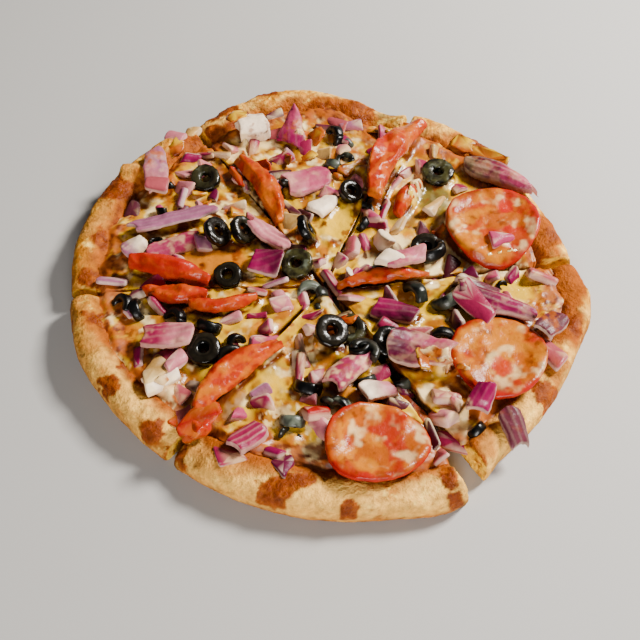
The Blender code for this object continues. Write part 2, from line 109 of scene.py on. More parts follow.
print("a warm brown becomes", colour(206, 118, 24).round(2))

# %% [markdown]
# ## Noise
# Nothing on baked food is even. A shader could make the noise, but here the shape and the colours
# need the same lumps, so it is worked out for each point: random numbers at the corners of a grid of
# cells, blended in between. Pocks are distances to scattered spots, for blisters, bubbles and pores.

# %% Noise
def dice(cells, seed):
    """A repeatable number from 0 to 1 for each whole-number cell."""
    i, j, k = cells.astype(np.int64).T
    mixed = (i * 374761393 + j * 668265263 + k * 1442695041 + seed * 1274126177) & 0xFFFFFFFF
    mixed = ((mixed ^ (mixed >> 13)) * 1103515245) & 0xFFFFFFFF
    return ((mixed ^ (mixed >> 16)) & 0xFFFFFF) / 0xFFFFFF


def soft_noise(points, size, seed=0):
    """Smooth noise from -1 to 1 whose lumps are about size millimetres across."""
    place = points / size + 0.37
    cell = np.floor(place)
    part = place - cell
    part = part * part * (3.0 - 2.0 * part)
    total = 0.0
    for corner in product((0, 1), repeat=3):
        weight = np.prod(np.where(np.array(corner) == 1, part, 1.0 - part), axis=1)
        total = total + weight * dice(cell + corner, seed)
    return 2.0 * total - 1.0


def rough_noise(points, size, seed=0, layers=3):
    """Soft noise with ever finer noise added."""
    total = 0.0
    for layer in range(layers):
        total = total + soft_noise(points, size / 2 ** layer, seed + 11 * layer) / 1.7 ** layer
    return total * 0.75


def pocks(points, size, seed=0):
    """Distance to the nearest of many scattered spots, as a share of size."""
    place = points / size
    cell = np.floor(place)
    nearest = np.full(len(points), 9.0)
    for corner in product((-1, 0, 1), repeat=3):
        at = cell + corner
        spot = at + np.stack([dice(at, seed + axis) for axis in range(3)], axis=1)
        nearest = np.minimum(nearest, np.linalg.norm(place - spot, axis=1))
    return nearest


def spots(points, low, high, size, seed):
    """0 where the noise is at low and 1 where it is at high: soft spots of about size mm."""
    return ramp(low, high, rough_noise(points, size, seed))


def mottled(points, tint, *layers):
    """Tones laid over in spots. A layer is: tone, share, then low, high, size and seed."""
    for tone, share, *spotting in layers:
        tint = blend(tint, tone, share * spots(points, *spotting))
    return tint


GROUND = np.array((1.0, 1.0, 0.0))
sample = np.random.default_rng(1).uniform(-100, 100, (2000, 3))
print("noise range:", round(rough_noise(sample, 5).min(), 2), round(rough_noise(sample, 5).max(), 2))

# %% [markdown]
# ## Growing a fine mesh from a plain solid
# A voxel remesh turns any closed solid into an even mesh of small squares, whatever its faces were.
# Smoothing it removes the flat facets of the plain solid, and then each point can be moved along its
# normal to raise blisters, grain and wrinkles. Unlike bump shading, these also show in the outline.

# %% Remesh, smooth and normals
def grown(node, voxel):
    """Points in millimetres and four-cornered faces of a node, as an even fine mesh."""
    scratch = bpy.data.objects.new("scratch", frame["nodes"][node].data.copy())
    bpy.context.scene.collection.objects.link(scratch)
    even = scratch.modifiers.new("even", "REMESH")
    even.mode = "VOXEL"
    even.voxel_size = voxel * MM
    shape = scratch.evaluated_get(bpy.context.evaluated_depsgraph_get()).to_mesh()
    points = np.empty(len(shape.vertices) * 3)
    shape.vertices.foreach_get("co", points)
    corners = np.empty(len(shape.loops), np.int64)
    shape.loops.foreach_get("vertex_index", corners)
    bpy.data.objects.remove(scratch)
    return points.reshape(-1, 3) / MM, corners.reshape(-1, 4)


def smoothed(points, faces, rounds, weight=0.6):
    """Each point moved towards the mean of its neighbours, several times over."""
    start = faces.ravel()
    end = np.roll(faces, -1, axis=1).ravel()
    count = np.bincount(start, minlength=len(points))[:, None]
    for _ in range(rounds):
        sums = [np.bincount(start, points[end, axis], len(points)) for axis in range(3)]
        points = points + weight * (np.stack(sums, axis=1) / count - points)
    return points


def normals(points, faces):
    """The outward direction at each point."""
    a, b, c, d = (points[faces[:, corner]] for corner in range(4))
    across = np.cross(c - a, d - b)
    total = np.zeros_like(points)
    for corner in range(4):
        for axis in range(3):
            total[:, axis] += np.bincount(faces[:, corner], across[:, axis], len(points))
    return total / np.maximum(np.linalg.norm(total, axis=1), 1e-9)[:, None]


print("the first slice, grown at 2 mm, has", len(grown("dough_slice_1", 2.0)[1]), "faces")

# %% [markdown]
# ## From points to a piece
# A piece is a mesh with two values at each point, its colour and its wetness, which the finish
# reads. An image could hold them too, but values at the points need no unwrapping. Each piece rides
# on the pizza and takes the place of its plain solid.

# %% Turning points and colours into a piece
def make_piece(name, points, faces, tint, wet, finish, nodes=()):
    """A mesh object with a colour and a wetness at each point, riding on the pizza."""
    mesh = bpy.data.meshes.new(name)
    mesh.from_pydata(np.asarray(points) * MM, [], faces if isinstance(faces, list) else faces.tolist())
    mesh.shade_smooth()
    paint = mesh.attributes.new("tint", "FLOAT_COLOR", "POINT")
    opaque = np.c_[np.clip(tint, 0, 1), np.ones(len(tint))]
    paint.data.foreach_set("color", opaque.astype(np.float32).ravel())
    sheen = mesh.attributes.new("wet", "FLOAT", "POINT")
    sheen.data.foreach_set("value", np.clip(wet, 0, 1).astype(np.float32))
    mesh.materials.append(finish)
    made = bpy.data.objects.new(name, mesh)
    bpy.context.scene.collection.objects.link(made)
    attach(made, "root")
    if nodes:
        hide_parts(*nodes)
    return made


def numbered(kind):
    """The names of all nodes of one kind, in the order of their numbers."""
    found = [name for name in frame["nodes"] if name.startswith(kind + "_")]
    return sorted(found, key=lambda name: int(name.rsplit("_", 1)[1]))


print({kind: len(numbered(kind)) for kind in ("dough_slice", "tomato_wedge", "olive_ring", "onion_petal")})

# %% [markdown]
# ## Finishes
# One shader serves all the food: colour and wetness come from the points, and two layers of noise
# add what is finer than the mesh. Wet food is glossy because of oil and juice on it, so the wetness
# lowers the roughness. A finish for each topping would look much the same and be harder to tune.

# %% The food shader
Finish = namedtuple("Finish", "dry_rough wet_rough grain_mm grain_depth speckle gloss")
COARSE_SCALE, FINE_SCALE = 0.25, 0.5
SPECKLE_LOW, SPECKLE_HIGH = 0.3, 0.7


def food_finish(name, look):
    """A Principled material that reads each point's colour and wetness."""
    made = bpy.data.materials.new(name)
    made.use_nodes = True
    tree = made.node_tree
    shader = tree.nodes["Principled BSDF"]
    link = tree.links.new

    def add(kind, **values):
        node = tree.nodes.new(kind)
        for key, value in values.items():
            if key in node.inputs:
                node.inputs[key].default_value = value
            else:
                setattr(node, key, value)
        return node

    def spread(low, high, to_low, to_high):
        ranged = add("ShaderNodeMapRange")
        for key, value in zip(("From Min", "From Max", "To Min", "To Max"), (low, high, to_low, to_high)):
            ranged.inputs[key].default_value = value
        return ranged

    place = add("ShaderNodeTexCoord").outputs["Object"]
    tint = add("ShaderNodeAttribute", attribute_name="tint").outputs["Color"]
    wet = add("ShaderNodeAttribute", attribute_name="wet").outputs["Fac"]
    grain = look.grain_mm * MM
    coarse = add("ShaderNodeTexNoise", Scale=COARSE_SCALE / grain, Detail=3.0, Roughness=0.6)
    fine = add("ShaderNodeTexNoise", Scale=FINE_SCALE / grain, Detail=4.0, Roughness=0.65)
    link(place, coarse.inputs["Vector"])
    link(place, fine.inputs["Vector"])

    lift = spread(SPECKLE_LOW, SPECKLE_HIGH, 1 - look.speckle, 1 + look.speckle)
    link(coarse.outputs["Fac"], lift.inputs["Value"])
    shade = add("ShaderNodeVectorMath", operation="SCALE")
    link(tint, shade.inputs[0])
    link(lift.outputs["Result"], shade.inputs["Scale"])
    link(shade.outputs["Vector"], shader.inputs["Base Color"])

    gloss = spread(0.0, 1.0, look.dry_rough, look.wet_rough)
    link(wet, gloss.inputs["Value"])
    link(gloss.outputs["Result"], shader.inputs["Roughness"])

    both = add("ShaderNodeMath", operation="ADD")
    link(coarse.outputs["Fac"], both.inputs[0])
    link(fine.outputs["Fac"], both.inputs[1])
    bump = add("ShaderNodeBump", Strength=1.0, Distance=look.grain_depth * MM)
    link(both.outputs["Value"], bump.inputs["Height"])
    link(bump.outputs["Normal"], shader.inputs["Normal"])
    shader.inputs["Specular IOR Level"].default_value = look.gloss
    return made


CRUST = food_finish("baked_crust", Finish(0.85, 0.35, 0.9, 0.7, 0.28, 0.1))
CHEESE = food_finish("melted_cheese", Finish(0.5, 0.1, 1.6, 0.2, 0.08, 0.35))
TOMATO = food_finish("roast_tomato", Finish(0.45, 0.18, 1.6, 0.25, 0.12, 0.18))
OLIVE = food_finish("black_olive", Finish(0.45, 0.2, 1.2, 0.14, 0.35, 0.28))
ONION = food_finish("red_onion", Finish(0.5, 0.2, 1.0, 0.16, 0.12, 0.16))
print("finishes:", [m.name for m in (CRUST, CHEESE, TOMATO, OLIVE, ONION)])

# %% [markdown]
# ## Patches
# Browning, pools of cheese and films have places of their own. A patch is an oval on the pizza seen
# from above, in millimetres from its middle. Noise pushes its edge in and out, so no oval shows. A
# painted picture could say the same, but ovals stay easy to move.

# %% Patches
Patch = namedtuple("Patch", "x y long wide heading strength", defaults=(0, 1.0))
PATCH_EDGE, PATCH_CORE = 1.15, 0.65


def patches(*rows):
    """A group of patches, one from each row."""
    return tuple(Patch(*row) for row in rows)


def patch_mask(points, patches, ragged=0.35, size=4.0, seed=0):
    """How strongly the patches cover each point, from 0 to 1."""
    wander = ragged * rough_noise(points, size, seed)
    covered = np.zeros(len(points))
    for patch in patches:
        turn = math.radians(patch.heading)
        east, north = points[:, 0] - patch.x, points[:, 1] - patch.y
        along = (east * math.cos(turn) + north * math.sin(turn)) / patch.long
        across = (north * math.cos(turn) - east * math.sin(turn)) / patch.wide
        away = np.hypot(along, across) + wander
        covered = np.maximum(covered, patch.strength * ramp(PATCH_EDGE, PATCH_CORE, away))
    return covered


one = patches((0, 0, 10, 5))
print("a patch covers its middle by", patch_mask(np.zeros((1, 3)), one)[0].round(2))

# %% [markdown]
# ## Crust
# The rim is pale straw where the dough only dried, with a fine grain from the meal on the pan, and
# orange to dark brown where cheese ran over it or it touched the pan. Browned parts blister. The
# outer wall was fried in the oiled pan: smooth and tan. Cut sides show a pale crumb with pores.

# %% Where the crust is browned
BROWNED = patches(
    (-109.6, 45.7, 10, 10, 40), (-114.8, 14.1, 5, 7), (-107, 5, 4.5, 8, 20), (-116, -10, 6, 7, 0, 0.9),
    (-62, 108, 12, 7, 30, 0.75), (-33.7, 123, 7, 4, -10, 0.9), (-5, 111, 13, 6, 0, 0.8),
    (18, 111, 13, 7, -8, 0.8), (-77.5, 86.6, 6, 6, 0, 0.8), (-64, 93, 6, 6, 0, 0.9),
    (89, 81, 13, 7, -35, 0.8), (114, 52, 4, 7, 10, 0.9), (114, 16, 4, 6, 0, 0.8), (112, -27, 5, 6, 0, 0.9),
    (-105, -35, 14, 5), (-99, -46, 4, 5, 0, 0.9), (-91, -57, 5, 11, 10, 0.9), (-98.4, -71.9, 6, 5, -30),
    (-76.7, -93, 6, 6), (-67.8, -104, 7, 7), (-22, -121, 13, 6, 25), (-9.7, -117, 6, 4), (8, -129, 3.5, 4),
    (50, -116, 3.5, 7, 20), (52.6, -124, 4, 4), (61, -109, 7, 5, 40, 0.5), (97, -77, 6, 10, 20, 0.8),
    (117, -38, 4, 7), (101, -73, 4, 3, 0, 0.8),
)
SCORCHED = patches(
    (37, 108, 10, 7, -12, 0.9), (-63, 114, 4, 3, 0, 0.8), (-104, 4, 4, 6, 0, 0.6),
    (-67.8, -105, 7, 5, 0, 0.7), (98, 84, 8, 4, -35, 0.7), (55, -121, 5, 4, 0, 0.7),
    (121, -33, 3, 6, 0, 0.6), (-96, -45, 3, 3, 0, 0.6),
)
GLAZED = patches(
    (112, 16, 10, 22), (115, -10, 12, 14), (113, -34, 12, 16), (104, -62, 10, 12, 20, 0.8),
    (0, 112, 34, 8, 0, 0.9), (101, 62, 12, 16, 30, 0.8), (82, 84, 22, 9, -40, 0.8),
    (-104, -38, 12, 10, 0, 0.8), (-72, 90, 14, 10, 35, 0.7), (-40, -106, 26, 8, -10, 0.6),
    (60, -104, 16, 8, 30, 0.7),
)
print(len(BROWNED), "browned and", len(SCORCHED), "scorched patches on the rim")

# %% [markdown]
# ## The outline
# How far a point is inside the outline tells crust from cheese and decides where things brown. The
# outline could be a circle, but a real pan pizza bulges and its slices have moved apart a little.

# %% The outline of the round
OUTLINE_STEP, OUTLINE_WINDOW = 4.0, 5
rim_points = np.concatenate([np.array([v.co for v in frame["nodes"][name].data.vertices]) / MM
                             for name in numbered("dough_slice")])
rim_angles = np.degrees(np.arctan2(rim_points[:, 1], rim_points[:, 0]))
OUTLINE_ANGLES = np.arange(-180.0, 181.0, OUTLINE_STEP)
OUTLINE_RADII = np.array([
    np.hypot(*rim_points[np.abs((rim_angles - angle + 180) % 360 - 180) < OUTLINE_WINDOW, :2].T).max()
    for angle in OUTLINE_ANGLES])


def inside_by(points):
    """How far each point is inside the round's outline."""
    angles = np.degrees(np.arctan2(points[:, 1], points[:, 0]))
    return np.interp(angles, OUTLINE_ANGLES, OUTLINE_RADII) - np.hypot(points[:, 0], points[:, 1])


BARE_RIM, FULL_CHEESE = 10.0, 17.0


def cheese_share(points):
    """1 where the pizza is cheese, 0 where it is bare crust, with a ragged border."""
    return ramp(BARE_RIM, FULL_CHEESE, inside_by(points) + 3.5 * rough_noise(points * GROUND, 9.0, 18))


print("outline radius from", OUTLINE_RADII.min().round(1), "to", OUTLINE_RADII.max().round(1), "mm")
# %% [markdown]
# ## Relief of the crust
# Baked dough has blisters where it browned, a grain from meal, wrinkles, and pores where it was cut.
# A displacement modifier could do one of them; moving the points by a sum of noises does all, each
# only where its mask allows. The same masks paint the colours, so a blister is also brown.

# %% Masks and relief of the crust
BLISTER_MM, GRAIN_MM, PORE_MM = 3.4, 1.9, 2.6
UNDER_CHEESE = 1.6
FLAT_BELOW, FLAT_TO = 0.8, 0.15


def crust_masks(points, direction):
    """Shares of each point that are top, outer wall, cut side and browned."""
    outward = points[:, :2] / np.maximum(np.hypot(points[:, 0], points[:, 1]), 1.0)[:, None]
    facing_out = np.sum(direction[:, :2] * outward, axis=1)
    top = ramp(0.1, 0.6, direction[:, 2])
    wall = ramp(0.3, 0.75, facing_out) * (1.0 - top)
    cut = (1.0 - top) * ramp(0.6, 0.3, facing_out) * ramp(-0.8, -0.4, direction[:, 2])
    brown = patch_mask(points, BROWNED, 0.5, 5.0, 3) * ramp(-0.3, 0.3, direction[:, 2] + wall)
    brown = brown * ramp(2.0, 12.0, points[:, 2] + 4.0 * rough_noise(points, 5.0, 28))
    return top, wall, cut, brown


def crust_relief(points, faces):
    """Blisters, grain, wrinkles and pores, as points moved along their normals."""
    direction = normals(points, faces)
    top, wall, cut, brown = crust_masks(points, direction)
    blister = ramp(0.85, 0.2, pocks(points, BLISTER_MM, 5))
    rise = (0.4 + 0.5 * top) * rough_noise(points, 15.0, 1) + 0.3 * top * rough_noise(points, 5.0, 6)
    rise += 0.22 * top * ramp(0.8, 0.1, pocks(points, GRAIN_MM, 2))
    rise += brown * (0.75 * blister + 0.3 * rough_noise(points, 2.4, 7) - 0.2)
    rise += 0.25 * wall * rough_noise(points, 5.0, 9)
    rise -= 0.7 * cut * ramp(0.55, 0.25, pocks(points, PORE_MM, 4))
    rise -= UNDER_CHEESE * top * ramp(17.0, 22.0, inside_by(points))
    moved = points + direction * rise[:, None]
    moved[:, 2] = np.maximum(moved[:, 2], 0.0)
    low = points[:, 2] < FLAT_BELOW
    moved[low, 2] = np.minimum(moved[low, 2], FLAT_TO)
    return moved


print("blisters are about", BLISTER_MM, "mm apart, and pores", PORE_MM, "mm")

# %% [markdown]
# ## Colours of the crust
# The colours are laid over each other as baking does: pale dough, gold and tan grain, fried wall,
# brown patches with darker blisters, and black where it scorched. Last come the cut crumb and the
# underside. Light is painted in too: the front of the rim lighter, the left darker gold, partly as
# painted shade. One flat brown would look like plastic.

# %% Colours of the crust
CREAM, STRAW, GOLD = colour(246, 208, 160), colour(228, 170, 114), colour(206, 134, 68)
AMBER, RUSSET, CHAR = colour(202, 120, 26), colour(170, 84, 16), colour(80, 38, 14)
GLAZE, MEAL = colour(198, 116, 20), colour(252, 228, 176)
TAN, CRUMB, UNDERSIDE = colour(188, 114, 54), colour(236, 200, 136), colour(190, 130, 66)


def browned_dough(points):
    """Amber with russet spots, for crust near the cheese."""
    return mottled(points, flat(AMBER, len(points)), (RUSSET, 1.0, -0.2, 0.6, 4.0, 22))


def crust_paint(points, direction):
    """Straw, tan, amber and russet, with painted light on the front and partly painted shade on the left,
    and how greasy each point is.
    """
    top, wall, cut, brown = crust_masks(points, direction)
    count = len(points)
    patchy = rough_noise(points, 7.0, 20)
    grain = rough_noise(points, 1.8, 26, 2)
    left_gold_and_shade = ramp(-60.0, -112.0, points[:, 0])
    front_painted_light = ramp(-20.0, -80.0, points[:, 1])
    side = np.maximum(wall, ramp(3.5, 0.5, inside_by(points)))
    tint = blend(flat(STRAW, count), CREAM, ramp(-0.4, 0.5, patchy))
    tint = mottled(points, tint, (GOLD, 0.8, 0.0, 0.7, 16.0, 21))
    tint = blend(tint, TAN, 0.55 * ramp(0.15, 0.6, grain))
    tint = blend(tint, MEAL, 0.7 * ramp(-0.15, -0.6, grain))
    # Partly painted shade: the left of the rim is painted darker gold, partly for baking that differs there.
    tint = blend(tint, GOLD, 0.75 * left_gold_and_shade * ramp(-0.6, 0.2, patchy))
    # Painted light: the front of the rim is painted lighter, towards cream.
    tint = blend(tint, CREAM, 0.75 * front_painted_light * ramp(0.6, -0.2, patchy))
    low = ramp(13.0, 3.0, points[:, 2])
    # Painted light: the tan of the outer wall is weaker on the front.
    tint = blend(tint, blend(flat(TAN, count), RUSSET, 0.35 * low), (0.75 - 0.4 * front_painted_light) * side)
    near_cheese = cheese_share(points) * top
    tint = blend(tint, browned_dough(points), near_cheese)
    glazed = patch_mask(points, GLAZED, 0.5, 9.0, 27) * top
    tint = blend(tint, blend(flat(GLAZE, count), AMBER, ramp(-0.1, 0.6, patchy)), glazed)
    fried = wall * ramp(8.0, 2.0, points[:, 2] + 3.0 * rough_noise(points, 6.0, 19))
    tint = blend(tint, blend(flat(AMBER, count), RUSSET, ramp(-0.1, 0.5, grain)), 0.7 * fried)
    tint = blend(tint, AMBER, ramp(0.15, 0.5, brown))
    blister = ramp(0.85, 0.3, pocks(points, BLISTER_MM, 5))
    darker = 0.55 * blister + 0.5 + 0.6 * rough_noise(points, 2.6, 23)
    tint = blend(tint, RUSSET, brown * ramp(0.1, 0.9, darker))
    scorched = patch_mask(points, SCORCHED, 0.5, 3.5, 8) * (0.5 + 0.4 * rough_noise(points, 3.0, 24))
    tint = blend(tint, CHAR, scorched)
    tint = blend(tint, mottled(points, flat(CRUMB, count), (TAN, 1.0, 0.1, 0.7, 3.0, 25)), cut * 0.85)
    tint = blend(tint, UNDERSIDE, ramp(-0.5, -0.9, direction[:, 2]))
    return tint, 0.15 + 0.75 * brown + 0.4 * near_cheese


print("the crust goes from", STRAW.round(2), "to", CHAR.round(2))

# %% [markdown]
# ## Baking the crust
# Each slice goes through the same steps: grow, smooth, move the points, paint, make the piece. The
# voxel is about 1 mm, which is fine enough for a blister and keeps six slices light.

# %% Bake the crust slices
CRUST_VOXEL, CRUST_SMOOTHINGS = 1.05, 10
for node in numbered("dough_slice"):
    points, faces = grown(node, CRUST_VOXEL)
    points = crust_relief(smoothed(points, faces, CRUST_SMOOTHINGS), faces)
    tint, wet = crust_paint(points, normals(points, faces))
    made = make_piece("crust_" + node[-1], points, faces, tint, wet, CRUST, (node,))
    print(made.name, len(faces), "faces")

# %% [markdown]
# ## Height maps
# Melted cheese lies lower than the toppings, creeps up against them and here and there covers
# them. To know how high things are, rays are dropped on the plain solids over an even grid. A cloth
# simulation could drape the cheese, but a softened map is quick and gives the same each time.

# %% Height maps over the whole round
MAP_STEP, MAP_HALF = 0.6, 132.0
MAP_AXIS = np.arange(-MAP_HALF, MAP_HALF + MAP_STEP, MAP_STEP)
SKY = 90.0


def tree_of(names):
    """One search tree of several nodes, in millimetres."""
    points, faces = [], []
    for name in names:
        mesh = frame["nodes"][name].data
        faces += [[len(points) + i for i in p.vertices] for p in mesh.polygons]
        points += [v.co / MM for v in mesh.vertices]
    return BVHTree.FromPolygons(points, faces)


def top_at(tree, x, y):
    """Height of the highest face over a place, or None."""
    return tree.ray_cast(Vector((x, y, SKY)), Vector((0, 0, -1)))[0]


def height_map(names):
    """The heights of nodes over the grid, 0 where there is nothing."""
    tree = tree_of(names)
    hits = [[top_at(tree, x, y) for x in MAP_AXIS] for y in MAP_AXIS]
    return np.array([[hit.z if hit else 0.0 for hit in row] for row in hits])


def blurred(grid, size):
    """The map softened over about size millimetres."""
    reach = max(1, int(round(1.5 * size / MAP_STEP)))
    steps = np.arange(-reach, reach + 1)
    weights = np.exp(-0.5 * (steps * MAP_STEP / size) ** 2)
    weights /= weights.sum()
    for axis in (0, 1):
        grid = sum(w * np.roll(grid, s, axis=axis) for s, w in zip(steps, weights))
    return grid


def read_map(grid, x, y):
    """The map's value at places between its points."""
    i = np.clip((y + MAP_HALF) / MAP_STEP, 0, len(MAP_AXIS) - 1.001)
    j = np.clip((x + MAP_HALF) / MAP_STEP, 0, len(MAP_AXIS) - 1.001)
    a, b = i.astype(int), j.astype(int)
    s, t = i - a, j - b
    low = grid[a, b] * (1 - t) + grid[a, b + 1] * t
    return low * (1 - s) + (grid[a + 1, b] * (1 - t) + grid[a + 1, b + 1] * t) * s


COVERED_OVER = 1.0
CHEESE_REACH = 110
toppings = [name for name in frame["nodes"] if not name.startswith(("dough", "cheese"))]
topping_map = height_map(toppings)
cover_map = (topping_map > COVERED_OVER).astype(float)
covered_share = cover_map.sum() * MAP_STEP ** 2 / (math.pi * CHEESE_REACH ** 2)
print("toppings cover", round(100 * covered_share), "% of the cheese")

# %% [markdown]
# ## Cheese
# Each slice's cheese is a fan-shaped sheet from its point to the rim, so that its cut sides stay
# straight. Its height follows the plain cheese, rises to meet each topping, and goes over the top
# of one where a film patch says so. Colour runs from cream to yellow, with sauce where it is thin.

# %% Films, pools and browned cheese
FILMS = patches(
    (-48, 36, 13, 7, -5), (-8, 90, 10, 7), (14, 73, 8, 10), (52, -62, 4, 14, 70), (45, 52, 7, 13, -20, 0.8),
    (-45, 76, 11, 8, 0, 0.9), (56, -86, 5, 12, 10, 0.8), (-73, -76, 12, 8, 40, 0.9),
    (-12, -50, 8, 10, 0, 0.7), (88, -2, 13, 5, 5), (35, 14, 9, 7, 0, 0.9), (-22, -88, 8, 8, 0, 0.9),
)
YELLOW_POOLS = patches(
    (4, 27, 16, 14), (-28.5, -72.5, 10, 11, 0, 0.9), (46.5, -27.5, 12, 7), (100, -17, 14, 7),
    (-53, -35, 20, 6, 0, 0.8), (-48, 36, 13, 7, 0, 0.6),
)
CREAM_POOLS = patches(
    (55, -90, 6, 10), (-75, -80, 9, 5, 0, 0.9), (33, 13, 8, 7), (88, -3, 12, 5), (-40, 88, 14, 7, 0, 0.7),
    (22, 1, 7, 5, 0, 0.9), (-5, -104, 8, 8, 0, 0.9), (-60, 32, 6, 4, 0, 0.8), (60, 8, 8, 6, 0, 0.8),
)
GREEN_POOLS = patches(
    (55.6, 46, 9, 18), (40, 30, 10, 8, 0, 0.7), (70, -30, 10, 6, 0, 0.5), (-34, -58, 14, 8, 0, 0.5),
    (-62, 54, 8, 6, 0, 0.6), (30, 60, 8, 8, 0, 0.6),
)
PEACH_POOLS = patches((-54, 0, 18, 9), (-15, -51, 7, 9, 0, 0.8), (60, -70, 8, 8, 0, 0.5))
SAUCE_POOLS = patches(
    (-54, 61, 6, 16, 30), (-2, -14, 14, 8, 0, 0.9), (10, -25, 10, 5, -50, 0.8), (-60, -30, 12, 3, 0, 0.6),
    (30, -60, 4, 22, 35, 0.7), (52, 25, 9, 4, 30, 0.5), (-45, -80, 5, 16, -45, 0.8),
    (-30, 60, 5, 8, 0, 0.6), (30, 88, 12, 8, 0, 0.7),
)
TOASTED = patches(
    (-52, 36, 6, 3.5), (-8, 91, 10, 6), (14, 75, 7, 9, 0, 0.8), (52, -62, 3.5, 14, 70),
    (-45, 77, 10, 6, 0, 0.8), (77, 68, 10, 6, -30, 0.7), (104, 5, 8, 14, 0, 0.7), (98, -60, 10, 10, 0, 0.5),
    (0, -108, 12, 4, 0, 0.5), (-66, 62, 5, 3, 0, 0.8), (92, -72, 9, 7, 0, 0.7), (20, 96, 14, 6, 0, 0.6),
    (106, 6, 9, 20), (106, -34, 9, 16), (-93, 64, 6, 7, 0, 0.9), (40, 96, 16, 7, -25, 0.8),
)
print(len(FILMS), "films of cheese over toppings,", len(TOASTED), "toasted patches")

# %% [markdown]
# ## The shape of the cheese
# A slice's cheese is a grid of points: one way from its tip to the rim, the other from cut to cut.
# Where the rim is, is found by halving the distance until the ray just meets the slice. The plain
# cheese's height is smoothed, and the cut sides sag a little, as warm cheese does.

# %% The sheet of one slice
CUT_CENTRE = np.array((-2.0, -14.0))
COLUMNS, ROWS = 124, 124
TIP_CLEAR, FARTHEST, HALVINGS = 5.0, 160.0, 14
INSET_ANGLE = 0.0015
TIP_SHARE = 0.004
CUT_SAG, RIM_LAP = 1.1, 2.2
CHEESE_LIMIT, BARE_LIFT, OFF_DOUGH = 4.6, 3.0, 9.0
SETTLINGS = 12
dough_tree = tree_of(numbered("dough_slice"))


def flat_places(x, y):
    """Grids of places as a list of points at height 0."""
    return np.stack((x.ravel(), y.ravel(), np.zeros(x.size)), axis=1)


def fan(node):
    """A slice's fan of places: its point, angles, and how far it reaches at each angle."""
    tree = tree_of([node])
    corners = np.array([v.co for v in frame["nodes"][node].data.vertices])[:, :2] / MM
    tip = corners[np.argmin(np.hypot(*(corners - CUT_CENTRE).T))]
    way = corners.mean(axis=0) - tip
    middle = math.atan2(way[1], way[0])
    spread = corners[np.hypot(*(corners - tip).T) > TIP_CLEAR] - tip
    turned = (np.arctan2(spread[:, 1], spread[:, 0]) - middle + math.pi) % (2 * math.pi) - math.pi
    angles = middle + np.linspace(turned.min() + INSET_ANGLE, turned.max() - INSET_ANGLE, COLUMNS + 1)
    reaches = []
    for angle in angles:
        near, far = TIP_CLEAR, FARTHEST
        for _ in range(HALVINGS):
            half = 0.5 * (near + far)
            hit = top_at(tree, tip[0] + half * math.cos(angle), tip[1] + half * math.sin(angle))
            near, far = (half, far) if hit else (near, half)
        reaches.append(near)
    reaches = np.array(reaches)
    border = flat_places(tip[0] + reaches * np.cos(angles), tip[1] + reaches * np.sin(angles))
    return tree, tip, angles, reaches + RIM_LAP * (1.0 + rough_noise(border, 12.0, 29))


def cheese_base(tree, tip, angles, reaches):
    """Places and heights of a slice's cheese without its toppings, and the crust below it."""
    shares = np.linspace(TIP_SHARE, 1.0, ROWS + 1)
    x = tip[0] + np.outer(np.cos(angles) * reaches, shares)
    y = tip[1] + np.outer(np.sin(angles) * reaches, shares)
    tops = np.empty_like(x)
    floor = np.empty_like(x)
    sag = CUT_SAG * (1.0 + rough_noise(flat_places(x, y), 7.0, 30)).reshape(x.shape)
    outward = np.linspace(-1.0, 1.0, COLUMNS + 1)[:, None]
    sag = sag * ramp(0.93, 1.0, np.abs(outward)) * ramp(0.05, 0.7, shares[None, :]) * np.sign(outward)
    x = x - np.sin(angles)[:, None] * sag
    y = y + np.cos(angles)[:, None] * sag
    for place in np.ndindex(x.shape):
        below = top_at(dough_tree, x[place], y[place])
        above = top_at(tree, x[place], y[place])
        floor[place] = below.z if below else OFF_DOUGH
        tops[place] = min(above.z, floor[place] + CHEESE_LIMIT) if above else floor[place] + BARE_LIFT
    for _ in range(SETTLINGS):
        inner = 0.25 * (tops[:-2, 1:-1] + tops[2:, 1:-1] + tops[1:-1, :-2] + tops[1:-1, 2:])
        tops[1:-1, 1:-1] = inner
    return x, y, tops, floor


print("the first slice reaches", fan("cheese_slice_1")[3].max().round(1), "mm from its tip")

# %% [markdown]
# ## The melted surface
# On the plain cheese go lumps, bubbles where it toasts, and a rise towards each topping. Where a
# film patch lies, the surface follows the toppings' heights instead, softened, like a thin blanket.
# Near the rim the sheet thins out until it dives under the dough, so that no step shows.

# %% The melted surface
CHEESE_RISE, CREEP, FILM_LIFT = 1.0, 3.8, 1.5
LEAST_COVER = 0.5
NO_TOPPING = 11.0
near_map = blurred(cover_map, 2.0)
drape_map = blurred(np.where(topping_map > COVERED_OVER, topping_map, NO_TOPPING), 1.0)


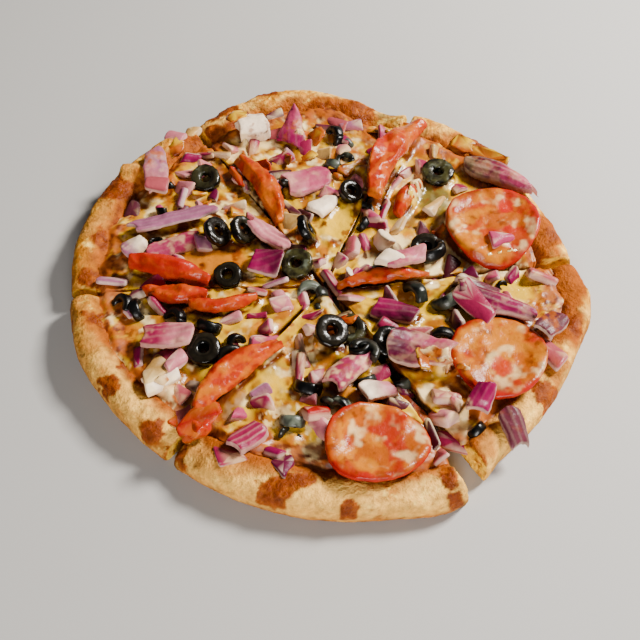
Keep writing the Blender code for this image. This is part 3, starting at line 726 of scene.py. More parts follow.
def cheese_surface(x, y, tops, floor):
    """The melted surface's points, and the share of each that is a film over a topping."""
    places = flat_places(x, y)
    film = patch_mask(places, FILMS, 0.45, 4.0, 31).reshape(x.shape)
    film *= spots(places, -0.55, 0.05, 3.4, 32).reshape(x.shape)
    lumps = 0.9 * rough_noise(places, 9.0, 33, 2) + 0.22 * rough_noise(places, 3.0, 34, 2)
    toasted = patch_mask(places, TOASTED, 0.5, 3.5, 50)
    bubbles = (0.15 + 0.9 * toasted) * ramp(0.6, 0.15, pocks(places, 3.6, 35))
    creep = CREEP * read_map(near_map, x, y) * (1.0 - 0.5 * read_map(cover_map, x, y))
    plain = tops + CHEESE_RISE + (lumps + bubbles).reshape(x.shape) + creep
    over = np.maximum(read_map(drape_map, x, y) + FILM_LIFT, plain)
    off_cuts = ramp(1.0, 0.9, np.abs(np.linspace(-1.0, 1.0, COLUMNS + 1)))[:, None]
    shade = ramp(0.2, 0.7, film) * off_cuts
    edge = np.minimum(ramp(0, 3, inside_by(places)), 1.0).reshape(x.shape)
    heights = np.maximum(plain + (over - plain) * shade * edge, floor + LEAST_COVER)
    thinning = ramp(1.0, 0.95, np.linspace(0.0, 1.0, ROWS + 1))[None, :]
    heights = floor - LEAST_COVER + (heights - floor + LEAST_COVER) * thinning
    return np.stack((x, y, heights), axis=2), shade


print("a slice's cheese has", (ROWS + 1) * (COLUMNS + 1), "points on top")

# %% [markdown]
# ## The colours of the cheese
# Melted cheese is never one yellow: fat runs out of it, sauce shows through where it is thin, and
# near the rim it toasts. Beside the toppings it is darkened, with juice and with painted shade.
# Pools of each kind are patches, and noise breaks all of them up.

# %% Colours of the cheese
FAT, YELLOW, IVORY = colour(196, 128, 68), colour(234, 198, 130), colour(246, 228, 192)
PEACH, SAUCE, DEEP_SAUCE = colour(224, 154, 98), colour(176, 74, 18), colour(92, 32, 12)
OLIVE_OIL, TOAST, BURNT = colour(142, 128, 76), colour(206, 118, 24), colour(152, 66, 12)
JUICE_AND_SHADE = colour(146, 70, 28)
BY_RIM = 0.95
POOL_EDGE = 0.35
POOLS = ((YELLOW, 1.0, YELLOW_POOLS, 6.0, 43), (IVORY, 1.0, CREAM_POOLS, 5.0, 44),
         (OLIVE_OIL, 0.9, GREEN_POOLS, 6.0, 45), (PEACH, 1.0, PEACH_POOLS, 6.0, 46))


def by_rim(points):
    """Strong near the rim, where cheese browns first, in uneven tongues."""
    depth = inside_by(points) + 5.0 * rough_noise(points * GROUND, 12.0, 57)
    return ramp(34.0, 24.0, depth)


def cheese_paint(points, film, thin):
    """Cream, yellow and peach with sauce in the thin places, juice and painted shade beside the toppings,
    and how oily each point is.
    """
    ground = points * GROUND
    tint = mottled(ground, flat(FAT, len(points)), (YELLOW, 1.0, -0.4, 0.2, 9.0, 40),
                   (PEACH, 0.85, 0.0, 0.5, 12.0, 42), (IVORY, 1.0, 0.1, 0.5, 6.0, 41))
    for tone, share, pools, size, seed in POOLS:
        tint = blend(tint, tone, share * patch_mask(ground, pools, POOL_EDGE, size, seed))
    runny = spots(ground, 0.2, 0.6, 5.5, 47) * 0.9
    sauce = np.maximum(runny, patch_mask(ground, SAUCE_POOLS, 0.4, 5.0, 48)) * (1.0 - 0.8 * film)
    tint = blend(tint, SAUCE, 0.9 * sauce)
    tint = mottled(ground, tint, (DEEP_SAUCE, 0.8 * ramp(0.5, 1.0, sauce), -0.2, 0.5, 4.0, 49))
    # Juice and painted shade: the cheese beside the toppings is darkened, with spots of deep sauce.
    beside = ramp(0.08, 0.34, read_map(near_map, points[:, 0], points[:, 1]))
    juice_and_shade = beside * spots(ground, -0.4, 0.2, 6.0, 56)
    tint = blend(tint, JUICE_AND_SHADE, juice_and_shade * (1.0 - film))
    tint = mottled(ground, tint, (DEEP_SAUCE, 0.5 * juice_and_shade * (1.0 - film), 0.0, 0.5, 5.0, 58))
    toast = np.maximum(patch_mask(ground, TOASTED, 0.5, 3.5, 50), BY_RIM * by_rim(points))
    tint = mottled(points, tint, (TOAST, toast, -0.8, 0.0, 4.0, 51), (BURNT, toast, 0.0, 0.6, 2.6, 52))
    tint = mottled(ground, tint, (IVORY, 0.6 * film, 0.4, -0.2, 5.0, 59))
    depth = inside_by(points)
    tint = blend(tint, SAUCE, 0.85 * thin * ramp(16.0, 24.0, depth))
    tint = blend(tint, browned_dough(points), 1.0 - cheese_share(points))
    return tint, 0.75 + 0.3 * rough_noise(points, 6.0, 53) - 0.25 * toast - 0.7 * ramp(30.0, 16.0, depth)


def under_cheese(points, tint):
    """A topping's colours with a see-through film of cheese where a film patch lies."""
    ground = points * GROUND
    film = patch_mask(ground, FILMS, 0.45, 4.0, 31)
    toast = patch_mask(ground, TOASTED, 0.5, 3.5, 50) * spots(points, -0.3, 0.4, 3.0, 51)
    tint = mottled(points, tint, (IVORY, 0.6 * film, -0.5, 0.3, 4.0, 55))
    return blend(tint, TOAST, 0.8 * toast)


print("pools of cheese:", sum(len(pool[2]) for pool in POOLS))

# %% [markdown]
# ## Closing the cheese
# A sheet has no thickness, and the cheese shows at the cuts, so rings of points go down from its
# border and in under it, where nobody sees them. A solidify modifier would do this too, but it
# couldn't follow the dough below or mark the cut side as thin, which is where the sauce shows.

# %% Melt the cheese on each slice
SIDE_SHARES = (0.35, 0.7, 1.0)
HIDDEN_FLOOR = 5.0
HIDDEN_INSET = 0.85
OVER_DOUGH, LEAST_SIDE = 0.15, 0.3


def band(above, below):
    """Squares between two rings of points."""
    return np.stack((above, np.roll(above, -1), np.roll(below, -1), below), axis=1)[:, ::-1]


def closed_sheet(surface, floor):
    """All points and faces of a slice's cheese, and how many points its border has."""
    number = np.arange((COLUMNS + 1) * (ROWS + 1)).reshape(COLUMNS + 1, ROWS + 1)
    faces = np.stack((number[:-1, :-1], number[1:, :-1], number[1:, 1:], number[:-1, 1:]), axis=2)
    faces = faces.reshape(-1, 4)
    border = np.concatenate((number[:-1, 0], number[-1, :-1], number[:0:-1, -1], number[0, :0:-1]))
    points = surface.reshape(-1, 3)
    low = points[border].copy()
    bottom = np.minimum(floor.reshape(-1)[border] + OVER_DOUGH, low[:, 2] - LEAST_SIDE)
    rings = [low + (bottom - low[:, 2])[:, None] * (0.0, 0.0, share) for share in SIDE_SHARES]
    middle = rings[-1].mean(axis=0) * GROUND + (0.0, 0.0, HIDDEN_FLOOR)
    rings.append(middle + (rings[-1] - middle) * (HIDDEN_INSET, HIDDEN_INSET, 0.0))
    above = border
    for ring in rings:
        below = np.arange(len(points), len(points) + len(border))
        points = np.concatenate((points, ring))
        faces = np.concatenate((faces, band(above, below)))
        above = below
    last = len(points)
    cap = [[int(a), int(b), last] for a, b in zip(above, np.roll(above, -1))]
    return np.concatenate((points, middle[None])), faces.tolist() + cap, len(border)


for node in numbered("cheese_slice"):
    tree, tip, angles, reaches = fan(node)
    x, y, tops, floor = cheese_base(tree, tip, angles, reaches)
    surface, film = cheese_surface(x, y, tops, floor)
    points, faces, around = closed_sheet(surface, floor)
    side_thin = [np.full(around, ramp(0.3, 0.9, np.array(share))) for share in SIDE_SHARES]
    thin = np.concatenate([np.zeros(film.size)] + side_thin + [np.ones(around + 1)])
    hidden = np.zeros(len(points) - film.size)
    tint, wet = cheese_paint(points, np.append(film.reshape(-1), hidden), thin)
    made = make_piece("melt_" + node[-1], points, faces, tint, wet, CHEESE, (node,))
    print(made.name, len(faces), "faces")

# %% [markdown]
# ## A topping's own axes
# Skin, flesh and cut edges are told apart by where a point is on its own piece. The plain solid's
# longest direction, its width and its thickness come from its points, so no angles are repeated.

# %% Own axes of a node
LIKELY_LONG = np.array((0.8, 0.6, 0.0))


def own_axes(node):
    """Middle, directions as rows (long, wide, thick) and half sizes of a node."""
    points = np.array([v.co for v in frame["nodes"][node].data.vertices]) / MM
    _, directions = np.linalg.eigh(np.cov((points - points.mean(axis=0)).T))
    thick, wide, long = directions.T
    if thick[2] < 0:
        thick = -thick
    if long @ LIKELY_LONG < 0:
        long = -long
    axes = np.stack((long, np.cross(thick, long), thick))
    spread = (points - points.mean(axis=0)) @ axes.T
    middle = points.mean(axis=0) + 0.5 * (spread.min(axis=0) + spread.max(axis=0)) @ axes
    return middle, axes, 0.5 * np.ptp(spread, axis=0)


def own_places(points, node):
    """Each point's place on its piece: long, wide and thick, from -1 to 1."""
    middle, axes, half = own_axes(node)
    return ((points - middle) @ axes.T) / half


print("half sizes of the largest wedge:", own_axes("tomato_wedge_1")[2].round(1))

# %% [markdown]
# ## Tomato
# A baked tomato round keeps a tight bright skin round its edge, and its face is wet flesh under a
# thin, mottled film of cheese. A wedge shows skin on one long side and soft flesh on the other. Both
# are grown from their plain solids, and told apart only by the masks that their own axes give.

# %% Tomato rounds
SKIN, DEEP_SKIN, FLESH = colour(212, 72, 0), colour(190, 46, 2), colour(206, 82, 6)
FILM, RED_SPOT = colour(222, 150, 66), colour(220, 46, 20)
RED_SPOTS = patches((91, 29, 5, 5, 0, 0.9), (80, 12, 5, 4, 0, 0.5), (78, -64, 5, 6, 0, 0.8))
ROUND_VOXEL, ROUND_SMOOTHINGS = 0.7, 8


def round_relief(points, faces, node):
    """Folds and film of a baked round."""
    direction = normals(points, faces)
    place = own_places(points, node)
    face = ramp(0.3, 0.8, direction[:, 2]) * ramp(0.98, 0.8, np.hypot(place[:, 0], place[:, 1]))
    rise = face * (0.5 * rough_noise(points, 8.0, 60, 2) + 0.12 * ramp(0.7, 0.2, pocks(points, 4.0, 61)))
    rise += 0.3 * rough_noise(points, 9.0, 62)
    return points + direction * rise[:, None]


def skin_of(points, size, seed):
    """Tomato skin, deeper red in spots."""
    return mottled(points, flat(SKIN, len(points)), (DEEP_SKIN, 1.0, 0.0, 0.8, size, seed))


def round_paint(points, direction, node):
    """Skin at the edge, and flesh, film and browned film on the face."""
    place = own_places(points, node)
    away = np.hypot(place[:, 0], place[:, 1])
    face = ramp(0.1, 0.6, direction[:, 2]) * ramp(1.0, 0.86, away + 0.06 * rough_noise(points, 6.0, 63))
    by_edge = 0.7 * ramp(0.72, 0.95, away)
    flesh = mottled(points, flat(FLESH, len(points)), (FILM, 1.0, -0.4, 0.3, 11.0, 65),
                    (SKIN, 0.7, 0.15, 0.6, 9.0, 66), (TOAST, 0.95, -0.15, 0.3, 8.0, 67),
                    (BURNT, 0.6, 0.3, 0.7, 4.0, 68), (IVORY, 0.5, 0.1, 0.7, 7.0, 89),
                    (BURNT, by_edge, -0.1, 0.3, 9.0, 206))
    flesh = blend(flesh, RED_SPOT, patch_mask(points * GROUND, RED_SPOTS, 0.4, 3.0, 69))
    return blend(skin_of(points, 8.0, 64), flesh, face), 0.55 + 0.35 * rough_noise(points, 3.0, 70)


for node in numbered("tomato_round"):
    points, faces = grown(node, ROUND_VOXEL)
    points = round_relief(smoothed(points, faces, ROUND_SMOOTHINGS), faces, node)
    tint, wet = round_paint(points, normals(points, faces), node)
    make_piece("roast_" + node, points, faces, tint, wet, TOMATO, (node,))
    print("roast_" + node, len(faces), "faces")

# %% [markdown]
# ## Tomato wedges
# A wedge has a band of skin, and flesh with pale streaks that toasts at its high places. Three
# numbers say how much flesh, yellow jelly and toast each one shows; one set of rules does the rest.

# %% Tomato wedges
PALE_FLESH, SEED = colour(224, 122, 52), colour(218, 142, 26)
WEDGE_VOXEL, WEDGE_SMOOTHINGS = 0.62, 6
STREAKS = 8.0
WedgeLook = namedtuple("WedgeLook", "flesh yellow toast")
WEDGE_LOOKS = [WedgeLook(*row) for row in (
    (0.6, 0.4, 0.1), (0.2, 0.4, 0.5), (0.55, 0.4, 0.35), (0.2, 0.1, 0.1), (0.25, 0.1, 0.0),
    (0.35, 0.3, 0.2), (0.5, 0.7, 0.1), (0.1, 0.1, 0.6), (0.2, 0.1, 0.7),
)]


def wedge_relief(points, faces, node):
    """Wrinkled skin and soft lumps of flesh."""
    direction = normals(points, faces)
    place = own_places(points, node)
    flesh = ramp(0.15, -0.35, place[:, 1])
    rise = 0.45 * rough_noise(points, 8.0, 71) + flesh * 0.5 * rough_noise(points, 3.5, 72)
    return points + direction * rise[:, None]


def wedge_paint(points, node, look):
    """Bright skin on one side, wet flesh on the other."""
    place = own_places(points, node)
    flesh = mottled(points, flat(FLESH, len(points)), (PALE_FLESH, 1.0, -0.1, 0.6, 4.0, 75))
    streaks = np.sin(place[:, 1] * STREAKS + 3.0 * rough_noise(points, 9.0, 207))
    flesh = blend(flesh, PALE_FLESH, 0.6 * ramp(0.2, 0.8, streaks))
    border = place[:, 1] + 0.35 * rough_noise(points, 5.0, 73) - look.flesh
    tint = blend(skin_of(points, 7.0, 74), flesh, ramp(0.5, -0.1, border) * min(1.0, look.flesh * 2))
    tint = mottled(points, tint, (TOAST, 0.55, 0.1, 0.6, 9.0, 208),
                   (SEED, look.yellow * 1.2, 0.0, 0.45, 10.0, 76),
                   (TOAST, look.toast, -0.2, 0.5, 5.0, 77), (BURNT, look.toast, 0.2, 0.8, 3.0, 78))
    return tint, 0.6 + 0.35 * rough_noise(points, 3.0, 79)


for node, look in zip(numbered("tomato_wedge"), WEDGE_LOOKS):
    points, faces = grown(node, WEDGE_VOXEL)
    points = wedge_relief(smoothed(points, faces, WEDGE_SMOOTHINGS), faces, node)
    tint, wet = wedge_paint(points, node, look)
    make_piece("roast_" + node, points, faces, tint, wet, TOMATO, (node,))
print(len(WEDGE_LOOKS), "wedges roasted")

# %% [markdown]
# ## Olives
# A sliced black olive has a thin shiny skin, brown-green flesh with a darker line round the hole,
# and oil on it. Its hole is painted near black, as painted shade. Some are coated by cheese or by
# the sauce and look grey-green. How far a point is from the ring's axis says which of these it is.

# %% Olive rings
OLIVE_SKIN, OLIVE_FLESH, OLIVE_DARK = colour(26, 20, 19), colour(86, 74, 52), colour(14, 11, 9)
COAT_GREEN, COAT_GREY = colour(122, 118, 72), colour(150, 158, 140)
COATED = {1: 0.25, 3: 0.1, 5: 0.75, 8: 0.5, 11: 0.7}
GREENER = {2: 0.1, 3: 0.2, 4: 0.0, 7: 0.2, 9: 0.25, 10: 0.0}
PLAIN_GREEN = 0.3
FLESH_LINE, HOLE_SHADE_EDGE = 0.55, 0.42
RING_VOXEL, RING_SMOOTHINGS = 0.46, 6


def olive_paint(points, direction, node, number):
    """Skin outside, flesh with a dark line on the cut face, painted shade in the hole, and any coat."""
    middle, axes, half = own_axes(node)
    axis, radius = axes[2], half[0]
    offset = points - middle
    height = offset @ axis
    away = np.linalg.norm(offset - height[:, None] * axis, axis=1) / radius
    face = ramp(0.35, 0.8, np.abs(direction @ axis))
    count = len(points)
    dark = 0.75 - GREENER.get(number, PLAIN_GREEN) + 0.3 * rough_noise(points, 2.0, 80)
    flesh = blend(flat(OLIVE_FLESH, count), OLIVE_SKIN, dark)
    flesh = blend(flesh, OLIVE_DARK, ramp(0.1, 0.0, np.abs(away - FLESH_LINE)) * 0.6)
    tint = blend(flat(OLIVE_SKIN, count), flesh, face * ramp(0.95, 0.85, away))
    # Painted shade: the wall of the hole is painted near black.
    tint = blend(tint, OLIVE_DARK, ramp(HOLE_SHADE_EDGE, 0.34, away))
    film = COATED.get(number, 0.0) * spots(points, -0.5, 0.4, 4.0, 81)
    tint = mottled(points, blend(tint, COAT_GREEN, film), (COAT_GREY, film, 0.2, 0.7, 3.0, 82))
    return tint, 0.85 + 0.2 * rough_noise(points, 2.5, 83)


for number, node in enumerate(numbered("olive_ring"), 1):
    points, faces = grown(node, RING_VOXEL)
    points = smoothed(points, faces, RING_SMOOTHINGS)
    direction = normals(points, faces)
    for axis in range(3):
        points[:, axis] += 0.55 * soft_noise(points, 7.0, 85 + axis)
    points = points + direction * (0.2 * rough_noise(points, 4.0, 84, 2))[:, None]
    tint, wet = olive_paint(points, direction, node, number)
    make_piece("glossy_" + node, points, faces, tint, wet, OLIVE, (node,))
print(len(numbered("olive_ring")), "olive rings")

# %% [markdown]
# ## Red onion
# A piece of red onion is a curved layer: a magenta skin outside, white or lilac flesh below, fine
# lines along its growth and glassy edges. Baking bleaches some pieces and scorches thin ends. Each
# large piece has a look of its own, as two tones and four numbers, which one set of rules reads.

# %% Onion looks
OnionLook = namedtuple("OnionLook", "near far lines edge toast film")
WHITE, PALE, LILAC = colour(238, 222, 204), colour(216, 146, 152), colour(188, 124, 152)
PINK, ROSE, MAGENTA = colour(208, 98, 128), colour(188, 64, 100), colour(178, 34, 100)
PURPLE, MAROON, DUSKY = colour(142, 34, 80), colour(110, 26, 42), colour(142, 72, 86)
BLUSH, BEIGE = colour(200, 108, 114), colour(206, 168, 120)
GREENISH, RED = colour(168, 140, 70), colour(200, 58, 52)
ONION_LOOKS = [OnionLook(*row) for row in (
    (PALE, LILAC, 0.2, 0.4, 0.25, 0.1), (PINK, ROSE, 0.3, 0.5, 0.0, 0.2),
    (LILAC, LILAC, 0.35, 0.6, 0.0, 0.0), (LILAC, WHITE, 0.2, 0.4, 0.0, 0.2),
    (WHITE, WHITE, 0.1, 0.2, 0.5, 0.0), (MAGENTA, PINK, 0.3, 0.0, 0.5, 0.0),
    (PALE, PINK, 0.2, 0.3, 0.15, 0.1), (WHITE, WHITE, 0.1, 0.1, 0.0, 0.2), (PALE, PALE, 0.8, 0.4, 0.0, 0.0),
    (MAGENTA, PURPLE, 0.15, 0.6, 0.0, 0.0), (ROSE, PALE, 0.5, 0.4, 0.0, 0.1),
    (WHITE, WHITE, 0.15, 0.2, 0.0, 0.0), (ROSE, PINK, 0.2, 0.3, 0.3, 0.3), (ROSE, ROSE, 1.0, 0.4, 0.0, 0.0),
    (MAGENTA, PURPLE, 0.3, 0.8, 0.0, 0.0), (PURPLE, PINK, 0.5, 0.7, 0.1, 0.1),
    (PURPLE, MAGENTA, 0.9, 0.5, 0.0, 0.1), (MAROON, PINK, 0.8, 0.4, 0.4, 0.1),
    (MAGENTA, MAGENTA, 0.2, 0.5, 0.0, 0.0), (DUSKY, DUSKY, 0.5, 0.3, 0.2, 0.0),
    (PINK, PALE, 0.2, 0.4, 0.0, 0.1), (WHITE, PALE, 0.2, 0.6, 0.0, 0.0), (DUSKY, DUSKY, 0.3, 0.7, 0.0, 0.0),
)]
print(len(ONION_LOOKS), "looks of onion")

# %% [markdown]
# ## Baking the onion
# A baked layer of onion narrows at its ends, twists and gets fine ridges. The points are moved on
# the piece's own axes for this, which a bend modifier could do only for one piece at a time.

# %% Bake the onion petals
ONION_SCORCH, ONION_BURN = colour(186, 104, 48), colour(96, 36, 26)
GROWTH_LINES = 13.0
PETAL_VOXEL, PETAL_SMOOTHINGS = 0.55, 6


def curl(points, node, seed):
    """The piece with uneven width, drawn-in ends and a gentle twist, as baking leaves it."""
    middle, axes, half = own_axes(node)
    place = (points - middle) @ axes.T
    along = np.abs(place[:, 0]) / half[0]
    line = np.stack((place[:, 0] + 31.0 * seed, np.full(len(points), seed), np.zeros(len(points))), 1)
    width = 1.0 - 0.28 * ramp(0.55, 1.0, along) + 0.16 * soft_noise(line, 7.0, 98)
    place[:, 1] *= width
    for axis, size in ((0, 0.5), (1, 0.9), (2, 0.45)):
        place[:, axis] += size * rough_noise(points, 8.0, 99 + axis, 2)
    return middle + place @ axes


def growth(points, place):
    """Waves from -1 to 1 across the layer: the lines of its growth."""
    return np.sin(place[:, 1] * GROWTH_LINES + 2.0 * soft_noise(points, 8.0, 90))


def onion_relief(points, faces, node, look):
    """Fine ridges along the layer, and soft dents."""
    direction = normals(points, faces)
    ridges = growth(points, own_places(points, node))
    face = ramp(0.3, 0.8, np.abs(direction[:, 2]))
    rise = face * (0.10 * look.lines * ridges) + 0.28 * rough_noise(points, 6.0, 91)
    return points + direction * rise[:, None]


def onion_paint(points, direction, node, look):
    """Skin colour from end to end, growth lines, glassy pale edges and scorch marks."""
    place = own_places(points, node)
    shift = place[:, 0] + 0.5 * rough_noise(points, 7.0, 92)
    tint = blend(flat(look.near, len(points)), look.far, ramp(-0.6, 0.6, shift))
    wave = growth(points, place)
    tint = blend(tint, WHITE, 0.12 * look.lines * ramp(0.2, 0.9, wave))
    tint = blend(tint, MAGENTA, 0.2 * look.lines * ramp(0.2, 0.9, -wave))
    out = np.maximum(np.abs(place[:, 0]), np.abs(place[:, 1])) + 0.1 * rough_noise(points, 3.0, 93)
    tint = blend(tint, WHITE, 0.7 * look.edge * ramp(0.6, 0.2, direction[:, 2]))
    tint = blend(tint, ROSE, 0.4 * look.edge * ramp(0.72, 0.98, out))
    tint = mottled(points, tint, (ONION_SCORCH, 1.2 * look.toast, 0.25, 0.65, 3.6, 94),
                   (ONION_BURN, 1.5 * look.toast, 0.55, 0.9, 3.0, 95),
                   (IVORY, 1.4 * look.film, -0.1, 0.5, 4.5, 96))
    return under_cheese(points, tint), 0.35 + 0.45 * rough_noise(points, 3.0, 97)


for number, (node, look) in enumerate(zip(numbered("onion_petal"), ONION_LOOKS), 1):
    points, faces = grown(node, PETAL_VOXEL)
    points = curl(smoothed(points, faces, PETAL_SMOOTHINGS), node, number)
    points = onion_relief(points, faces, node, look)
    tint, wet = onion_paint(points, normals(points, faces), node, look)
    make_piece("baked_" + node, points, faces, tint, wet, ONION, (node,))
print(len(ONION_LOOKS), "onion petals")

# %% [markdown]
# ## Small pieces
# Between the large toppings the pizza is full of small ones: diced onion of every shade, and rings
# and slices of olive, each sunk in the cheese. Every bit is a rounded block or a bent rod with its
# own place, size and colour. The bits of one kind are joined into one mesh, which keeps the scene
# light, and the rest are scattered by chance into the free places.

# %% The surface that small pieces lie on
laid = [made for made in bpy.data.objects if made.name.startswith(("melt_", "crust_"))]


def surface_tree():
    """One search tree of the melted cheese, the crust and the larger toppings, in millimetres."""
    points, faces = [], []
    for made in laid + [frame["nodes"][name] for name in toppings]:
        base = len(points)
        faces += [[base + i for i in p.vertices] for p in made.data.polygons]
        points += [v.co / MM for v in made.data.vertices]
    return BVHTree.FromPolygons(points, faces)


ground_tree = surface_tree()


def ground_at(x, y):
    """Height and slope of what lies at a place."""
    hit, slope = ground_tree.ray_cast(Vector((x, y, SKY)), Vector((0, 0, -1)))[:2]
    return (hit.z, np.array(slope)) if hit else (OFF_DOUGH, np.array((0.0, 0.0, 1.0)))


print("surface at the middle:", round(ground_at(0, 0)[0], 1), "mm high")

# %% [markdown]
# ## Blocks and rods
# A diced piece of onion is close to a box with soft edges, and a bit of olive is a bent rod. Powers
# of sine and cosine give both: an exponent near 0 makes flat sides, near 1 round ones. Boxes with a
# bevel modifier would do, but these take dents and lines point by point, like everything else here.

# %% Blocks and rods
BLOCK_ROWS, BLOCK_TURNS = 11, 28
ROD_ROWS, ROD_TURNS = 30, 14
BLOCK_SIDES, BLOCK_CORNERS, BLOCK_TOP = 0.16, 0.26, 0.5
ROD_ACROSS, ROD_UP = 0.75, 0.6


def power(value, exponent):
    """A power that keeps the sign."""
    return np.sign(value) * np.abs(value) ** exponent


def closed_rows(rows, turns):
    """Faces of a closed skin made of rows of points round it, with a point at each end."""
    number = 1 + np.arange(rows * turns).reshape(rows, turns)
    beside = np.roll(number, -1, axis=1)
    sides = np.stack((number[:-1], beside[:-1], beside[1:], number[1:]), axis=2).reshape(-1, 4)
    last = rows * turns + 1
    first_cap = [[0, int(b), int(a)] for a, b in zip(number[0], beside[0])]
    last_cap = [[last, int(a), int(b)] for a, b in zip(number[-1], beside[-1])]
    return sides.tolist() + first_cap + last_cap


def block():
    """A rounded block from -1 to 1 in each direction, with flat faces and soft edges."""
    up = np.linspace(-0.5, 0.5, BLOCK_ROWS + 2)[1:-1] * math.pi
    around = np.linspace(0, 2 * math.pi, BLOCK_TURNS, endpoint=False)
    ring = np.stack((power(np.cos(around), BLOCK_CORNERS), power(np.sin(around), BLOCK_CORNERS)), axis=1)
    flat_part = power(np.cos(up), BLOCK_SIDES)[:, None, None] * ring[None]
    height = power(np.sin(up), BLOCK_TOP)[:, None, None]
    height = np.broadcast_to(height, (BLOCK_ROWS, BLOCK_TURNS, 1))
    points = np.concatenate((flat_part, height), axis=2).reshape(-1, 3)
    return np.concatenate(([[0, 0, -1.0]], points, [[0, 0, 1.0]]))


def rod(radius, half_width, half_height, arc):
    """A bent rod, for an olive ring or part of one, and how far out each point is."""
    way = np.radians(np.linspace(0.0, arc, ROD_ROWS))
    around = np.linspace(0, 2 * math.pi, ROD_TURNS, endpoint=False)
    reach = radius + half_width * power(np.cos(around), ROD_ACROSS)
    height = half_height * power(np.sin(around), ROD_UP)
    points = np.stack((np.outer(np.cos(way), reach), np.outer(np.sin(way), reach),
                       np.tile(height, (ROD_ROWS, 1))), axis=2)
    ends = [points[0].mean(axis=0), points[-1].mean(axis=0)]
    closed = np.concatenate((ends[:1], points.reshape(-1, 3), ends[1:]))
    return closed, np.r_[0, np.tile(np.cos(around), ROD_ROWS), 0]


print("a block has", len(block()), "points")

# %% [markdown]
# ## Places of the diced onion
# The larger bits of onion have places of their own, because they make the picture. Each row is one
# bit: its place, its size, the way it points and the colour of its skin. Only the smaller ones can
# be left to chance.

# %% Places of small onion pieces
OnionBit = namedtuple("OnionBit", "x y long wide thick heading skin")
ONION_BITS = [OnionBit(*row) for row in (
    (5, -1, 12, 5, 4, 45, MAGENTA), (-6, 0, 16, 4, 4, -55, ROSE), (3, -12, 17, 5, 4, -60, ROSE),
    (10, -11, 16, 4, 4, 55, PINK), (11, -10, 7, 6, 4, 60, WHITE), (11, 9, 14, 10, 6, 80, BLUSH),
    (26, 13, 17, 12, 6, 10, WHITE), (26, 17, 14, 5, 4, 5, MAGENTA), (18, -8, 12, 8, 5, 40, MAGENTA),
    (29, -7, 10, 8, 5, 30, WHITE), (21, 34, 22, 6, 5, -75, PINK), (-25, 58, 20, 8, 4, 25, MAROON),
    (-23, 53, 16, 5, 3, 25, LILAC), (-35, 69, 9, 6, 3, 10, MAROON), (17, 53, 13, 11, 4, -40, PALE),
    (-49, 37, 13, 6, 4, 20, LILAC), (-63, 11, 8, 9, 4, 0, LILAC), (-22, -27, 10, 9, 6, 0, PALE),
    (0, -19, 10, 4, 5, -70, PALE), (4, -32, 16, 5, 3, 20, MAROON), (14, -34, 14, 12, 3, 50, GREENISH),
    (30, -39, 14, 8, 4, -25, ROSE), (52, -76, 13, 8, 5, -10, ROSE), (51, -85, 12, 9, 6, -60, PALE),
    (56, -80, 9, 6, 5, 80, BLUSH), (-6, -84, 13, 10, 6, 50, RED), (-7, -40, 9, 6, 5, 10, PALE),
    (-12, -52, 19, 4, 4, -78, ROSE), (-8, -32, 13, 4, 4, 30, ROSE), (-14, -56, 10, 4, 4, -70, MAROON),
    (-9, -78, 8, 6, 4, 20, PALE), (-77, -1, 13, 9, 6, 10, PINK), (-94, -19, 12, 9, 5, -60, DUSKY),
    (-78, -30, 21, 5, 4, 6, ROSE), (-47, -33, 12, 7, 4, 10, PALE), (-34, -32, 10, 4, 3, 10, ROSE),
    (-30, -48, 17, 8, 4, 5, PINK), (-78, -58, 18, 9, 3, 15, ROSE), (-69, -61, 12, 7, 5, 50, PALE),
    (-59, -71, 14, 6, 4, -45, MAROON), (-78, -65, 15, 11, 3, 60, BEIGE), (-65, -83, 19, 14, 3, 30, BLUSH),
    (-30, -74, 10, 7, 4, 30, LILAC), (-4, -91, 12, 8, 5, -50, PALE), (-19, -109, 10, 9, 5, 50, PURPLE),
    (-23, -103, 8, 5, 4, -40, MAGENTA), (-42, -106, 12, 7, 3, 0, ROSE), (55, -96, 15, 8, 4, -15, ROSE),
    (102, -55, 15, 9, 4, -60, BLUSH), (91, -9, 9, 6, 4, 60, MAGENTA), (106, -9, 17, 7, 5, 8, BLUSH),
    (72, -18, 22, 8, 5, -15, DUSKY), (69, -29, 24, 11, 4, -55, ROSE), (60, -38, 12, 10, 4, 30, DUSKY),
    (-81, 99, 9, 7, 4, 75, BEIGE), (-87, 89, 11, 8, 4, -20, PALE), (-75, 72, 9, 8, 5, -30, MAGENTA),
    (-77, 48, 12, 10, 4, 60, PALE), (-59, 76, 15, 8, 3, -60, BEIGE), (-30, 107, 11, 7, 4, 20, DUSKY),
    (-89, 45, 12, 9, 4, -5, BLUSH), (-66, 37, 8, 5, 3, 0, PALE), (26, 24, 11, 7, 4, 20, ROSE),
    (86, 8, 12, 7, 4, 10, PINK), (57, 38, 16, 6, 4, 50, BEIGE), (-52, 81, 8, 7, 3, 20, PINK),
    (0, 95, 12, 7, 3, 0, DUSKY), (-25, 72, 12, 8, 4, 20, ROSE), (-66, 63, 10, 8, 3, 15, PALE),
    (-77, 43, 12, 8, 4, 60, LILAC), (-31, -41, 13, 6, 4, 10, PINK), (-23, -24, 12, 8, 5, -75, PALE),
    (-29, -80, 9, 8, 4, 20, ROSE), (-40, -84, 9, 6, 4, 40, PINK), (-13, -62, 17, 4, 5, 84, ROSE),
    (19, 12, 12, 5, 5, -70, PINK),
)]
print(len(ONION_BITS), "small onion pieces")

# %% [markdown]
# ## Laying pieces down
# Each small piece needs a height, a slope and some disorder. A physics simulation would let them
# fall, but a ray to the surface below gives the height and the slope at once. The piece is then
# turned, leaned by chance and sunk in. Places too near the rim are moved inwards first.

# %% Laying small pieces down
SUNK = 0.55
RIM_MARGIN = 7.0


